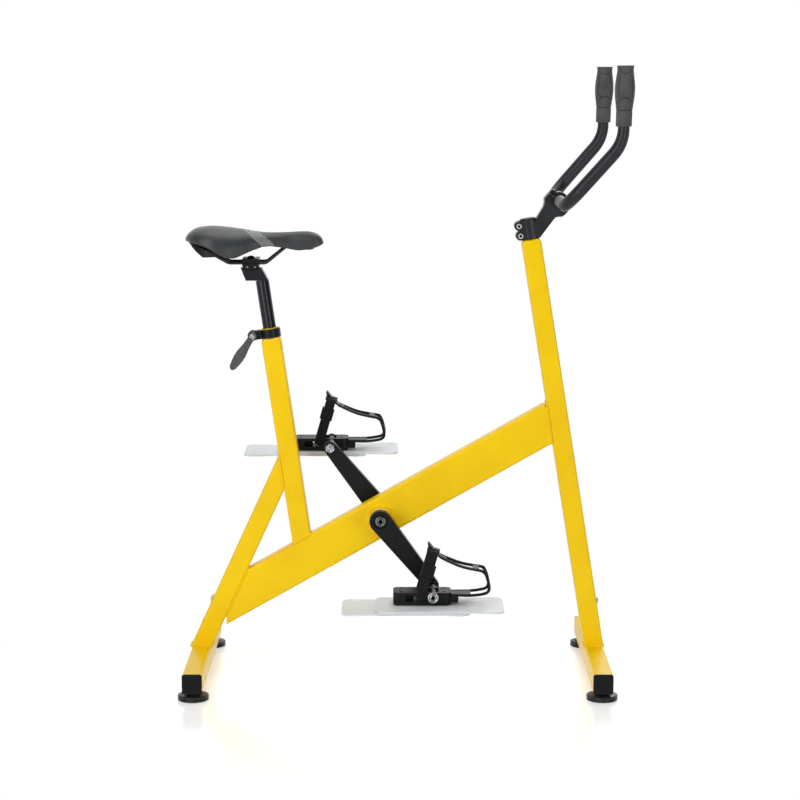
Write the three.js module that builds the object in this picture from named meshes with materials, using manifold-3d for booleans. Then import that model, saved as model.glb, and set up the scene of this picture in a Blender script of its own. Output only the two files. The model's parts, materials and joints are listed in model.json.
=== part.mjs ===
// Exercise bike that stands on the floor of a pool.
// Millimetres, +X to the front, +Z up, floor at zero, rider's right side at negative Y.
import * as THREE from 'three';
import { mergeVertices } from 'three/addons/utils/BufferGeometryUtils.js';
import Module from 'manifold-3d';

const wasm = await Module();
wasm.setup();

// Fits
const GAP = 0.3; // clearance between pieces that touch
const OVERRUN = 4; // how far a cutter passes the face that it opens
const REACH = 1500; // size of a cutter that takes away a whole side

// Facets
const SIDES_LARGE = 20;
const SIDES_MEDIUM = 14;
const SIDES_SMALL = 8;
const ARC_STEPS = 4;
const BEND_STEPS = 5;
const CORNER_STEPS = 2;
const HEX_SIDES = 6;

// Frame tubes
const TUBE = 40;
const TUBE_WALL = 2;
const TUBE_CORNER = 5;
const BEAM_HEIGHT = 80;
const BEAM_CORNER = 6;
const BEAM_SLOPE = THREE.MathUtils.degToRad(29.5);
const BEAM_TIP_SETBACK = 52; // from the rear base beam's centre to the end of the beam's lower tip
const UPRIGHT_LEAN = THREE.MathUtils.degToRad(-9.2);
const UPRIGHT_LENGTH = 854;
const SEAT_LEAN = THREE.MathUtils.degToRad(-8.3);
const SEAT_TUBE_LENGTH = 452; // from the beam's centre line to the shoulder
const BEAM_REAR_LENGTH = 180; // from the crank axle to the seat tube
const LEG_JOINT_HEIGHT = 456; // where the rear leg's line meets the seat tube's line

// Base
const WHEELBASE = 813; // between the two base beams
const BASE_WIDTH = 500;
const BASE_CENTRE_HEIGHT = 38;
const CAP_FLANGE = 4;
const CAP_PLUG_DEPTH = 18;
const CAP_PLUG_WALL = 2.5;
const CAP_CROWN = 1.5;
const FOOT_INSET = 32; // from a beam's end to the foot's centre
const FOOT_RADIUS = 31;
const FOOT_RIM = 8;
const FOOT_EDGE = 1.5;
const FOOT_SHOULDER_RADIUS = 26;
const FOOT_SHOULDER_HEIGHT = 11;
const FOOT_NECK_RADIUS = 14;
const STUD_RADIUS = 5;
const STUD_LENGTH = 22;
const LEG_BOLT_HEIGHT = 90; // above the base beams
const LEG_BOLT_HEAD_RADIUS = 8;
const LEG_BOLT_HEAD_HEIGHT = 5;
const LEG_BOLT_RADIUS = 4;
const LEG_BOLT_LENGTH = 16;
const DOME_RIM_SHARE = 0.3;
const DOME_SHOULDER_SHARE = 0.8;

// Seat tube top, post and collar
const POST_RADIUS = 13.6;
const POST_WALL = 2.2;
const POST_LENGTH = 290;
const POST_SHOWN = 100; // from the collar's top to the foot of the head
const NECK_WALL = 3;
const NECK_HEIGHT = 20;
const NECK_DEPTH = 70; // sleeve inside the seat tube
const SHOULDER_HEIGHT = 12;
const SHOULDER_RISE_SHARES = [0, 0.45, 0.8, 1];
const SLOT_WIDTH = 3;
const COLLAR_HEIGHT = 18;
const COLLAR_WALL = 4;
const EAR_REACH = 36; // from the post's axis to the lever's pivot
const EAR_RADIUS = 10.5;
const EAR_WIDTH = 10;
const SKEWER_RADIUS = 3;
const SKEWER_HEAD_RADIUS = 6;
const SKEWER_HEAD_HEIGHT = 3;
const LEVER_LENGTH = 82;
const LEVER_WIDTH = 22;
const LEVER_NECK_SHARE = 0.6; // of the width, beside the eye
const LEVER_EYE_RADIUS = 9;
const LEVER_THICKNESS = 8;
const LEVER_SLOPE = THREE.MathUtils.degToRad(131); // from straight down, turned up to the rear
// Bend and end of each curve, along the lever and out from its middle
const LEVER_CURVE_SHARES = [
  [0.28, -0.6, 0.43, -0.85], [0.62, -1.2, 0.93, -0.6], [1.06, 0, 0.93, 0.6],
  [0.62, 1.2, 0.43, 0.85], [0.28, 0.6, 0, 0.6],
];

// Post head and rail clamp
const HEAD_RISE = 37; // from the foot of the head to the rails
const HEAD_TOP_DROP = 10.5; // from the rails down to the head's lips
const HEAD_WIDTH = 28;
const HEAD_SETBACK = 22; // from the post's axis back to the clamp's centre
const HEAD_HALF_LENGTH = 21;
const TILT_RADIUS = 24; // curved seat of the clamp, about the tilt axis
const TILT_AXIS_HEIGHT = 6; // of the tilt axis above the rails
const TILT_SLOT_ANGLE = THREE.MathUtils.degToRad(13);
const RAIL_RADIUS = 3.5;
const RAIL_SPACING = 44;
const CLAMP_LENGTH = 33;
const CLAMP_SIDE_WALL = 4;
const CLAMP_CAP_HEIGHT = 9; // above the rails' centre
const CLAMP_WINDOW_WIDTH = 5;
const CLAMP_WINDOW_HEIGHT = 4;
const CLAMP_BOLT_RADIUS = 3;
const CLAMP_BOLT_HEAD_RADIUS = 7.5;
const CLAMP_BOLT_HEAD_HEIGHT = 4;
const CLAMP_NUT_RADIUS = 6;
const CLAMP_NUT_HEIGHT = 5;
const CLAMP_POCKET_DEPTH = 15; // room for the nut below the clamp's seat
const CAP_RELIEF_LENGTH = 16;
const CAP_RELIEF_DEPTH = 1.2;
const CAP_RELIEF_INNER = 11; // from the mid-plane

// Saddle, measured from its rear end and from the rails' centre
const SADDLE_LENGTH = 279;
const SADDLE_WIDTH = 152;
const SADDLE_HEIGHT = 73;
const SADDLE_REAR_OVERHANG = 132; // behind the clamp's centre
const SADDLE_SKIN = 6;
const SADDLE_BASE_RISE = 15;
const SADDLE_BASE_EDGE = 3;
const SADDLE_SECTION_POWER = 0.72;
const SADDLE_STATIONS = 18;
const SADDLE_SECTION_STEPS = 12;
const BASE_START_SHARE = 0.035;
const BASE_END_SHARE = 0.93;
const BUMPER_DROP = 9;
const BUMPER_CENTRE_SHARE = 0.135;
const BUMPER_SPAN_SHARE = 0.09;
const BASE_RECESS = 3;
const SADDLE_WIDTH_SHARES = [
  [0, 0.3], [0.03, 0.58], [0.08, 0.82], [0.16, 0.97], [0.24, 1], [0.33, 0.94], [0.42, 0.76],
  [0.5, 0.56], [0.6, 0.38], [0.72, 0.3], [0.85, 0.28], [0.94, 0.24], [0.98, 0.18], [1, 0.08],
];
const SADDLE_CROWN_SHARES = [
  [0, 0.65], [0.02, 0.8], [0.06, 0.93], [0.13, 0.985], [0.22, 1], [0.39, 0.93], [0.56, 0.83],
  [0.7, 0.83], [0.84, 0.855], [0.9, 0.83], [0.943, 0.765], [0.97, 0.695], [0.99, 0.61], [1, 0.51],
];
const SADDLE_EDGE_SHARES = [
  [0, 0.58], [0.09, 0.42], [0.15, 0.3], [0.24, 0.18], [0.33, 0.14], [0.42, 0.18], [0.49, 0.31],
  [0.55, 0.4], [0.62, 0.43], [0.72, 0.37], [0.82, 0.32], [0.9, 0.31], [0.963, 0.365], [1, 0.46],
];
const RAIL_FLAT_REAR = 44; // behind the clamp's centre
const RAIL_FLAT_FRONT = 31; // ahead of the clamp's centre
const RAIL_REAR_REACH = 90;
const RAIL_REAR_RISE = 27;
const RAIL_REAR_SPACING = 72;
const RAIL_FRONT_REACH = 72;
const RAIL_FRONT_RISE = 33;
const RAIL_FRONT_SPACING = 16;
const RAIL_BEND_RADIUS = 14;
const RAIL_SIDES = 8;

// Crank axle and bearings
const AXLE_X = -35; // from the middle of the base
const AXLE_HEIGHT = 329.5;
const SHELL_RADIUS = 26;
const SHELL_WALL = 6;
const SHELL_HALF_LENGTH = 35;
const AXLE_RADIUS = 8.5;
const BUSH_LENGTH = 18;
const BUSH_FLANGE_RADIUS = 21.5;
const BUSH_FLANGE = 3;
const SPINDLE_SQUARE = 12.5;

// Cranks
const CRANK_ANGLE = THREE.MathUtils.degToRad(51.5);
const CRANK_LENGTH = 170;
const CRANK_INNER = 50; // from the mid-plane to the arm's inner face
const CRANK_THICKNESS = 19;
const CRANK_BOSS = 7; // hub behind the arm
const CRANK_HEAD_RADIUS = 22.5;
const CRANK_EYE_RADIUS = 13.5;
const PANEL_DEPTH = 2;
const PANEL_BORDER = 5;
const PANEL_START = 36;
const PANEL_END = 142;
const CRANK_BOLT_RECESS_RADIUS = 14.5;
const CRANK_BOLT_RECESS = 7;
const CRANK_BOLT_HEAD_RADIUS = 11.5;
const CRANK_BOLT_HEAD = 5;
const CRANK_BOLT_RADIUS = 4;
const CRANK_BOLT_LENGTH = 26;
const HEX_RADIUS = 4.5;
const HEX_DEPTH = 3;

// Pedal axles
const PEDAL_AXLE_RADIUS = 5;
const PEDAL_THREAD_RADIUS = 7;
const PEDAL_COLLAR_RADIUS = 10;
const PEDAL_COLLAR = 6;
const PEDAL_NUT_RADIUS = 10;
const PEDAL_NUT = 4;
const PEDAL_BOLT_HEAD_RADIUS = 11.5;
const PEDAL_BOLT_HEAD = 5;

// Pedals, measured from their axle
const PEDAL_CENTRE = 145.5; // from the mid-plane
const PEDAL_WIDTH = 56;
const PEDAL_REAR = 80;
const PEDAL_FRONT = 36;
const PEDAL_TOP = 9.5;
const PEDAL_BOTTOM = 11.5;
const PEDAL_CORNER = 11;
const PEDAL_SKIN = 3.5;
const BARREL_RADIUS = 9;
const BARREL_REACH = 26; // inner end of the barrel, past the pedal's side
const WINDOW_REAR = 13;
const WINDOW_FRONT = 11;
const WINDOW_WIDTH = 38;
const PEG_HOLE_RADIUS = 3.4;
const PEG_REAR = 64;
const PEG_FRONT = 22;
const PEG_SPREAD = 32;
const BOSS_RADIUS = 7;
const BOSS_DROP = 5;
const PEG_RADIUS = 4;
const PEG_HEAD_RADIUS = 7;
const PEG_HEAD = 2.5;
const STRAP_TUNNEL_REAR = 56;
const STRAP_TUNNEL_FRONT = 15;
const STRAP_TUNNEL_TOP = 3;
const STRAP_TUNNEL_BOTTOM = 8;
const CLIP_BLOCK = 15;
const CLIP_BLOCK_WIDTH = 44;

// Fins
const FIN_THICKNESS = 4;
const FIN_LENGTH = 256;
const FIN_WIDTH = 136;
const FIN_WAIST = 6;
const FIN_CORNER = 20;
const FIN_OFFSET = 17; // outward from the pedal's centre
const FIN_UPPER_FRONT = 141;
const FIN_LOWER_FRONT = 73;

// Toe clips
const CLIP_THICKNESS = 4;
const CLIP_ROOT_WIDTH = 42;
const CLIP_TOE_WIDTH = 52;
const CLIP_TOP_WIDTH = 24;
const CLIP_LENGTH = 76; // from the pedal's front to the toe
const CLIP_HEIGHT = 103; // from the axle to the upturned tip
const CLIP_RIB = 5; // width of the ribs beside the slots
const CLIP_STEPS = 20;
const CLIP_ROOT_HEIGHT = 3; // of the band's middle above the axle, where it lies on the pedal
const CLIP_LENGTH_SHARES = [
  0, 0.2, 0.5, 0.79, 0.94, 1, 0.96, 0.885, 0.8, 0.54, 0.25, -0.04, -0.27, -0.39, -0.48, -0.6,
];
const CLIP_HEIGHT_SHARES = [
  0, 0, 0, 0.025, 0.06, 0.14, 0.31, 0.45, 0.485, 0.52, 0.57, 0.655, 0.735, 0.81, 0.885, 1,
];
const CLIP_WIDEST_SHARE = 0.45;
const CLIP_SLOT_SHARES = [[0.16, 0.36], [0.4, 0.52], [0.57, 0.8]];

// Toe straps
const STRAP_WIDTH = 20;
const STRAP_THICKNESS = 2.5;
const STRAP_LEAN = THREE.MathUtils.degToRad(16);
const STRAP_FOOT = -26; // where the loop starts, behind the axle
const STRAP_FOOT_DROP = 3;
const STRAP_HEIGHT = 99;
const STRAP_FOOT_HALF_WIDTH = 34;
const STRAP_TOP_HALF_WIDTH = 23;
const STRAP_BEND = 9;
const KEEPER_WALL = 2;
const KEEPER_LENGTH = 16;
const BUCKLE_HEIGHT = 26;
const BUCKLE_SPAN = 26;
const BUCKLE_DEPTH = 9;
const BUCKLE_PLACE_SHARE = 0.6;

// Stem
const STEERER_RADIUS = 14.3;
const STEERER_WALL = 2.4;
const UPRIGHT_SHOULDER = 12;
const STEM_HEIGHT = 40;
const STEM_WALL = 4.5;
const STEM_EAR_REACH = 20; // from the steerer's axis to the pinch bolts
const STEM_EAR_RADIUS = 9.5;
const STEM_EAR_WIDTH = 34;
const STEM_BOLT_SPACING = 20;
const STEM_ROOT_FORWARD = 12; // where the arm leaves the sleeve, level from the upright's top
const STEM_ROOT_UP = 24;
const STEM_ARM_LENGTH = 84; // from the bar's middle down to the foot of the sleeve
const STEM_ARM_FOOT_WIDTH = 34;
const STEM_ARM_WAIST_WIDTH = 28;
const STEM_HEAD_HEIGHT = 53; // across the two faceplate bolts
// Outline of the arm and head, as shares of half the head's height and of the arm's length
const STEM_UPPER_SHARES = [
  [-0.31, -1], [-0.64, -0.35], [-0.71, -0.29], [-0.84, -0.23], [-1, -0.18], [-1, 0],
];
const STEM_LOWER_SHARES = [
  [1, 0], [1, -0.15], [0.92, -0.24], [0.74, -0.29], [0.62, -0.33], [0.58, -0.38], [0.67, -1],
];
// Where the arm's foot ends, its waist lies and its head begins, seen from above, as shares of its length
const STEM_WAIST_SHARES = [0.75, 0.45, 0.22];
const STEM_BOLT_RADIUS = 3;
const STEM_BOLT_HEAD_RADIUS = 5.5;
const STEM_BOLT_HEAD = 5;
const STEERER_CAP = 3;
const STEERER_CAP_RADIUS = 16.5;
const STEERER_CAP_PLUG = 10;
const BAR_FORWARD = 56; // bar clamp ahead of the upright's top, level
const BAR_UP = 77; // bar clamp above the upright's top
const BAR_CLAMP_WIDTH = 40;
const BAR_CLAMP_WALL = 6;
const FACEPLATE_SPLIT = 1; // between the faceplate and the stem
const FACEPLATE_LUG = 11;
const FACEPLATE_LUG_WIDTH = 28;
const FACEPLATE_CORNER = 4;
const FACEPLATE_BOLT_SPACING = 38;
const FACEPLATE_BOLT_LENGTH = 20;

// Handlebar
const BAR_RADIUS = 12.7;
const BAR_WALL = 2.2;
const BAR_GRIP_RADIUS = 11.1;
const BAR_ELBOW = 205; // from the mid-plane to the corner of the first bend
const BAR_ELBOW_RADIUS = 50;
const BAR_SHOULDER_REACH = 108; // ahead of the clamp, at the corner of the second bend
const BAR_SHOULDER_RISE = 122;
const BAR_HALF_WIDTH = 222;
const BAR_SHOULDER_RADIUS = 75;
const BAR_HEIGHT = 270; // above the clamp
const BAR_SIDES = 14;
const BAR_BORE_SIDES = 6;
const GRIP_LENGTH = 116;
const GRIP_RADIUS = 19.5;
const GRIP_END_WALL = 4;
// Radius and height along the outside, from the foot up
const GRIP_FORM_SHARES = [
  [0.85, 0], [0.85, 0.24], [0.81, 0.25], [0.85, 0.26], [0.96, 0.45], [1, 0.62], [0.92, 0.8],
  [0.82, 0.95], [0.92, 0.97], [0.92, 0.99], [0.82, 1],
];

// Finishes
const PAINT = new THREE.MeshStandardMaterial({ color: 0xf5cf05, roughness: 0.35, metalness: 0.1 });
const BLACK_METAL = new THREE.MeshStandardMaterial({ color: 0x17181a, roughness: 0.3, metalness: 0.5 });
const BLACK_PLASTIC = new THREE.MeshStandardMaterial({ color: 0x242526, roughness: 0.6, metalness: 0 });
const RUBBER = new THREE.MeshStandardMaterial({ color: 0x4a4c4c, roughness: 0.85, metalness: 0 });
const SADDLE_COVER = new THREE.MeshStandardMaterial({ color: 0x46494b, roughness: 0.7, metalness: 0 });
const WEBBING = new THREE.MeshStandardMaterial({ color: 0x1c1c1d, roughness: 0.9, metalness: 0 });
const CLEAR_PLASTIC = new THREE.MeshStandardMaterial({ color: 0xe6e6e6, roughness: 0.4, metalness: 0 });
const STEEL = new THREE.MeshStandardMaterial({ color: 0xb9bcbe, roughness: 0.3, metalness: 1 });
const BUSH_PLASTIC = new THREE.MeshStandardMaterial({ color: 0xe9e6da, roughness: 0.5, metalness: 0 });

const HALF_TURN = Math.PI;
const QUARTER_TURN = Math.PI / 2;

// Joining and cutting
function toSolid(geometry) {
  const bare = geometry.clone();
  bare.deleteAttribute('normal');
  bare.deleteAttribute('uv');
  const merged = mergeVertices(bare);
  const corners = Array.from(merged.index.array);
  const kept = [];
  for (let first = 0; first < corners.length; first += 3) {
    const [a, b, c] = corners.slice(first, first + 3);
    if (a !== b && b !== c && c !== a) kept.push(a, b, c);
  }
  const vertProperties = new Float32Array(merged.attributes.position.array);
  const mesh = new wasm.Mesh({ numProp: 3, vertProperties, triVerts: new Uint32Array(kept) });
  return new wasm.Manifold(mesh);
}

function toGeometry(solid) {
  const { vertProperties, triVerts } = solid.getMesh();
  const geometry = new THREE.BufferGeometry();
  geometry.setAttribute('position', new THREE.BufferAttribute(vertProperties, 3));
  geometry.setIndex(new THREE.BufferAttribute(triVerts, 1));
  return geometry;
}

function join(...geometries) {
  return toGeometry(geometries.map(toSolid).reduce((whole, solid) => whole.add(solid)));
}

function cut(geometry, ...tools) {
  return toGeometry(tools.map(toSolid).reduce((whole, tool) => whole.subtract(tool), toSolid(geometry)));
}

function common(geometry, tool) {
  return toGeometry(toSolid(geometry).intersect(toSolid(tool)));
}

// Plain shapes
function block(fromX, toX, fromY, toY, fromZ, toZ) {
  const geometry = new THREE.BoxGeometry(toX - fromX, toY - fromY, toZ - fromZ);
  return geometry.translate((fromX + toX) / 2, (fromY + toY) / 2, (fromZ + toZ) / 2);
}

function rod(radius, fromZ, toZ, sides = SIDES_MEDIUM) {
  const geometry = new THREE.CylinderGeometry(radius, radius, toZ - fromZ, sides);
  return geometry.rotateX(QUARTER_TURN).translate(0, 0, (fromZ + toZ) / 2);
}

function crossRod(radius, fromY, toY, sides = SIDES_MEDIUM) {
  const geometry = new THREE.CylinderGeometry(radius, radius, toY - fromY, sides);
  return geometry.translate(0, (fromY + toY) / 2, 0);
}

// A profile of [radius, height] points that starts and ends on the axis or closes on itself
function turned(profile, sides = SIDES_MEDIUM) {
  const points = profile.map(([radius, height]) => new THREE.Vector2(radius, height));
  return new THREE.LatheGeometry(points, sides).rotateX(QUARTER_TURN);
}

function washer(outer, inner, fromZ, toZ, sides) {
  return turned([[inner, fromZ], [outer, fromZ], [outer, toZ], [inner, toZ], [inner, fromZ]], sides);
}

function roundedRectangle(width, height, radius) {
  const x = width / 2 - radius;
  const y = height / 2 - radius;
  const shape = new THREE.Shape();
  shape.absarc(x, y, radius, 0, QUARTER_TURN);
  shape.absarc(-x, y, radius, QUARTER_TURN, HALF_TURN);
  shape.absarc(-x, -y, radius, HALF_TURN, HALF_TURN + QUARTER_TURN);
  shape.absarc(x, -y, radius, HALF_TURN + QUARTER_TURN, 2 * HALF_TURN);
  shape.closePath();
  return shape;
}

function extruded(shape, fromZ, toZ, steps = CORNER_STEPS) {
  const options = { depth: toZ - fromZ, bevelEnabled: false, curveSegments: steps };
  return new THREE.ExtrudeGeometry(shape, options).translate(0, 0, fromZ);
}

// The shape is drawn in X and Z and lies between two Y values
function extrudedAcross(shape, fromY, toY, steps = ARC_STEPS) {
  return extruded(shape, -toY, -fromY, steps).rotateX(QUARTER_TURN);
}

function polygon(points) {
  return new THREE.Shape(points.map(([x, y]) => new THREE.Vector2(x, y)));
}

function mirrored(geometry) {
  const copy = toGeometry(toSolid(geometry)).scale(1, -1, 1);
  const flipped = Array.from(copy.index.array);
  for (let first = 0; first < flipped.length; first += 3) {
    [flipped[first], flipped[first + 1]] = [flipped[first + 1], flipped[first]];
  }
  copy.setIndex(flipped);
  return copy;
}

// Rings of points with equal counts, joined into one closed skin with flat ends
function skinned(rings) {
  const count = rings[0].length;
  const positions = rings.flat().flatMap((point) => [point.x, point.y, point.z]);
  const corners = [];
  for (let ring = 0; ring < rings.length - 1; ring += 1) {
    for (let step = 0; step < count; step += 1) {
      const next = (step + 1) % count;
      const a = ring * count + step;
      const b = ring * count + next;
      corners.push(a, b, b + count, a, b + count, a + count);
    }
  }
  const last = (rings.length - 1) * count;
  for (let step = 1; step < count - 1; step += 1) {
    corners.push(0, step + 1, step);
    corners.push(last, last + step, last + step + 1);
  }
  const geometry = new THREE.BufferGeometry();
  geometry.setAttribute('position', new THREE.Float32BufferAttribute(positions, 3));
  geometry.setIndex(corners);
  return geometry;
}

function valueAt(table, share) {
  const after = Math.max(1, table.findIndex(([place]) => place >= share));
  const [fromPlace, from] = table[after - 1];
  const [toPlace, to] = table[after];
  const part = (share - fromPlace) / (toPlace - fromPlace);
  const eased = (1 - Math.cos(part * HALF_TURN)) / 2;
  return from + (to - from) * (part + eased) / 2;
}

// Stations along straight stretches with round bends at the inner corners
function bentLine(corners, radii) {
  const between = (from, to) => to.clone().sub(from).normalize();
  const stations = [{ point: corners[0], along: between(corners[0], corners[1]) }];
  for (let index = 1; index < corners.length - 1; index += 1) {
    const forward = between(corners[index - 1], corners[index]);
    const next = between(corners[index], corners[index + 1]);
    const inward = next.clone().addScaledVector(forward, -next.dot(forward)).normalize();
    const turn = forward.angleTo(next);
    const radius = radii[index - 1];
    const start = corners[index].clone().addScaledVector(forward, -radius * Math.tan(turn / 2));
    for (let step = 0; step <= BEND_STEPS; step += 1) {
      const angle = (turn * step) / BEND_STEPS;
      const point = start.clone().addScaledVector(forward, radius * Math.sin(angle));
      point.addScaledVector(inward, radius * (1 - Math.cos(angle)));
      const along = forward.clone().multiplyScalar(Math.cos(angle));
      along.addScaledVector(inward, Math.sin(angle));
      stations.push({ point, along });
    }
  }
  const last = corners.length - 1;
  stations.push({ point: corners[last], along: between(corners[last - 1], corners[last]) });
  return stations;
}

// A round bar along stations, made longer at both ends
function roundBar(stations, radius, sides, extension = 0) {
  let across = new THREE.Vector3(1, 0, 0).cross(stations[0].along).normalize();
  const rings = stations.map(({ point, along }, index) => {
    across = across.clone().addScaledVector(along, -across.dot(along)).normalize();
    const up = along.clone().cross(across);
    const isEnd = index === stations.length - 1;
    const shift = (index === 0 ? -extension : 0) + (isEnd ? extension : 0);
    const centre = point.clone().addScaledVector(along, shift);
    return Array.from({ length: sides }, (_, side) => {
      const angle = (2 * HALF_TURN * side) / sides;
      const offset = across.clone().multiplyScalar(radius * Math.cos(angle));
      return offset.addScaledVector(up, radius * Math.sin(angle)).add(centre);
    });
  });
  return skinned(rings);
}

// Frames that the sub-assemblies are drawn in
const bike = new THREE.Group();

function frameAt(x, y, z, lean, parent = bike) {
  const frame = new THREE.Group();
  frame.position.set(x, y, z);
  frame.rotation.y = lean;
  parent.add(frame);
  frame.updateWorldMatrix(true, false);
  return frame;
}

function fromFrame(geometry, source, target) {
  const matrix = target.matrixWorld.clone().invert().multiply(source.matrixWorld);
  return geometry.clone().applyMatrix4(matrix);
}

function piece(name, geometry, finish, frame) {
  const mesh = new THREE.Mesh(geometry, finish);
  mesh.name = name;
  frame.add(mesh);
}

const BASE_TOP = BASE_CENTRE_HEIGHT + TUBE / 2;
const BASE_BOTTOM = BASE_CENTRE_HEIGHT - TUBE / 2;
const ground = frameAt(0, 0, 0, 0);
const beamFrame = frameAt(AXLE_X, 0, AXLE_HEIGHT, QUARTER_TURN - BEAM_SLOPE);
const uprightFrame = frameAt(WHEELBASE / 2, 0, BASE_TOP, UPRIGHT_LEAN);
const seatFootX = AXLE_X - BEAM_REAR_LENGTH * Math.cos(BEAM_SLOPE);
const seatFootZ = AXLE_HEIGHT - BEAM_REAR_LENGTH * Math.sin(BEAM_SLOPE);
const seatFrame = frameAt(seatFootX, 0, seatFootZ, SEAT_LEAN);
const legJointX = seatFootX + (LEG_JOINT_HEIGHT - seatFootZ) * Math.tan(SEAT_LEAN);
const LEG_LEAN = Math.atan2(legJointX + WHEELBASE / 2, LEG_JOINT_HEIGHT - BASE_TOP);
const legFrame = frameAt(-WHEELBASE / 2, 0, BASE_TOP, LEG_LEAN);

function tubeSection(width, corner) {
  const shape = roundedRectangle(width, TUBE, corner);
  const bore = roundedRectangle(width - 2 * TUBE_WALL, TUBE - 2 * TUBE_WALL, corner - TUBE_WALL);
  shape.holes.push(bore);
  return shape;
}

function everythingAhead(face) {
  return block(face, face + REACH, -REACH, REACH, -REACH, REACH);
}

function everythingBehind(face) {
  return block(face - REACH, face, -REACH, REACH, -REACH, REACH);
}

function everythingBelow(face) {
  return block(-REACH, REACH, -REACH, REACH, face - REACH, face);
}

// Frame
function legBoltHole(lean, side) {
  const height = LEG_BOLT_HEIGHT / Math.cos(lean);
  const hole = rod(LEG_BOLT_RADIUS + GAP, 0, TUBE, SIDES_SMALL).rotateY(side * QUARTER_TURN);
  return hole.translate(0, 0, height);
}

function shoulder(topRadius, fromZ, height) {
  const lower = roundedRectangle(TUBE, TUBE, TUBE_CORNER).getPoints(CORNER_STEPS);
  const rings = SHOULDER_RISE_SHARES.map((rise) => lower.map((point) => {
    const angle = Math.atan2(point.y, point.x);
    const draw = 1 - Math.sqrt(1 - rise * rise);
    const x = point.x + (topRadius * Math.cos(angle) - point.x) * draw;
    const y = point.y + (topRadius * Math.sin(angle) - point.y) * draw;
    return new THREE.Vector3(x, y, fromZ + height * rise);
  }));
  return skinned(rings);
}

function frontUpright() {
  const tube = extruded(tubeSection(TUBE, TUBE_CORNER), -TUBE, UPRIGHT_LENGTH - UPRIGHT_SHOULDER);
  const standing = cut(tube, fromFrame(everythingBelow(BASE_TOP + GAP), ground, uprightFrame));
  const top = shoulder(STEERER_RADIUS + STEM_WALL, UPRIGHT_LENGTH - UPRIGHT_SHOULDER, UPRIGHT_SHOULDER);
  const steererTop = UPRIGHT_LENGTH + STEM_HEIGHT;
  const steererFoot = UPRIGHT_LENGTH - UPRIGHT_SHOULDER;
  const steerer = rod(STEERER_RADIUS, steererFoot, steererTop, SIDES_LARGE);
  const bore = rod(STEERER_RADIUS - STEERER_WALL, steererFoot - OVERRUN, steererTop + OVERRUN, SIDES_MEDIUM);
  return cut(join(standing, top, steerer), bore, legBoltHole(UPRIGHT_LEAN, 1));
}

const NECK_RADIUS = POST_RADIUS + GAP + NECK_WALL;

function seatTube() {
  const tube = extruded(tubeSection(TUBE, TUBE_CORNER), -BEAM_HEIGHT, SEAT_TUBE_LENGTH);
  const beamFace = -BEAM_HEIGHT / 2 - GAP;
  const standing = cut(tube, fromFrame(everythingAhead(beamFace), beamFrame, seatFrame));
  const top = shoulder(NECK_RADIUS + COLLAR_WALL, SEAT_TUBE_LENGTH, SHOULDER_HEIGHT);
  const neckTop = SEAT_TUBE_LENGTH + SHOULDER_HEIGHT + NECK_HEIGHT;
  const neckFoot = SEAT_TUBE_LENGTH - NECK_DEPTH;
  const sleeve = rod(NECK_RADIUS, neckFoot, neckTop, SIDES_LARGE);
  const bore = rod(POST_RADIUS + GAP, neckFoot - OVERRUN, neckTop + OVERRUN, SIDES_LARGE);
  const slotFoot = SEAT_TUBE_LENGTH + SHOULDER_HEIGHT;
  const slot = block(-TUBE, 0, -SLOT_WIDTH / 2, SLOT_WIDTH / 2, slotFoot, neckTop + OVERRUN);
  return cut(join(standing, top, sleeve), bore, slot);
}

function rearLeg() {
  const tube = extruded(tubeSection(TUBE, TUBE_CORNER), -TUBE, LEG_JOINT_HEIGHT / Math.cos(LEG_LEAN));
  const seatFace = -TUBE / 2 - GAP;
  return cut(tube, fromFrame(everythingBelow(BASE_TOP + GAP), ground, legFrame),
    fromFrame(everythingAhead(seatFace), seatFrame, legFrame), legBoltHole(LEG_LEAN, -1));
}

function crossBeam() {
  const tube = extruded(tubeSection(BEAM_HEIGHT, BEAM_CORNER), -WHEELBASE / 2, WHEELBASE / 2);
  const legFace = TUBE / 2 + GAP;
  const tip = BEAM_TIP_SETBACK - WHEELBASE / 2;
  return cut(tube, fromFrame(everythingBehind(legFace), legFrame, beamFrame),
    fromFrame(everythingAhead(-legFace), uprightFrame, beamFrame),
    fromFrame(everythingBehind(tip), ground, beamFrame),
    crossRod(SHELL_RADIUS + GAP, -TUBE, TUBE, SIDES_LARGE));
}

function baseBeam() {
  const length = BASE_WIDTH - 2 * (CAP_CROWN + CAP_FLANGE + GAP);
  const tube = extruded(tubeSection(TUBE, TUBE_CORNER), -length / 2, length / 2).rotateX(QUARTER_TURN);
  const holes = [-1, 1].map((side) => {
    const hole = rod(STUD_RADIUS + GAP, -TUBE, 0, SIDES_MEDIUM);
    return hole.translate(0, side * (BASE_WIDTH / 2 - FOOT_INSET), 0);
  });
  return cut(tube, ...holes);
}

function endCap() {
  const inside = TUBE - 2 * TUBE_WALL - 2 * GAP;
  const corner = TUBE_CORNER - TUBE_WALL;
  const flange = extruded(roundedRectangle(TUBE, TUBE, TUBE_CORNER), -CAP_FLANGE, 0);
  const crown = extruded(roundedRectangle(TUBE - TUBE_CORNER, TUBE - TUBE_CORNER, TUBE_CORNER),
    0, CAP_CROWN);
  const plug = extruded(roundedRectangle(inside, inside, corner), -CAP_FLANGE - CAP_PLUG_DEPTH,
    -CAP_FLANGE);
  const hollow = inside - 2 * CAP_PLUG_WALL;
  const cavity = extruded(roundedRectangle(hollow, hollow, corner),
    -CAP_FLANGE - CAP_PLUG_DEPTH - OVERRUN, -CAP_FLANGE);
  return cut(join(flange, crown, plug), cavity).rotateX(QUARTER_TURN);
}

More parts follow.
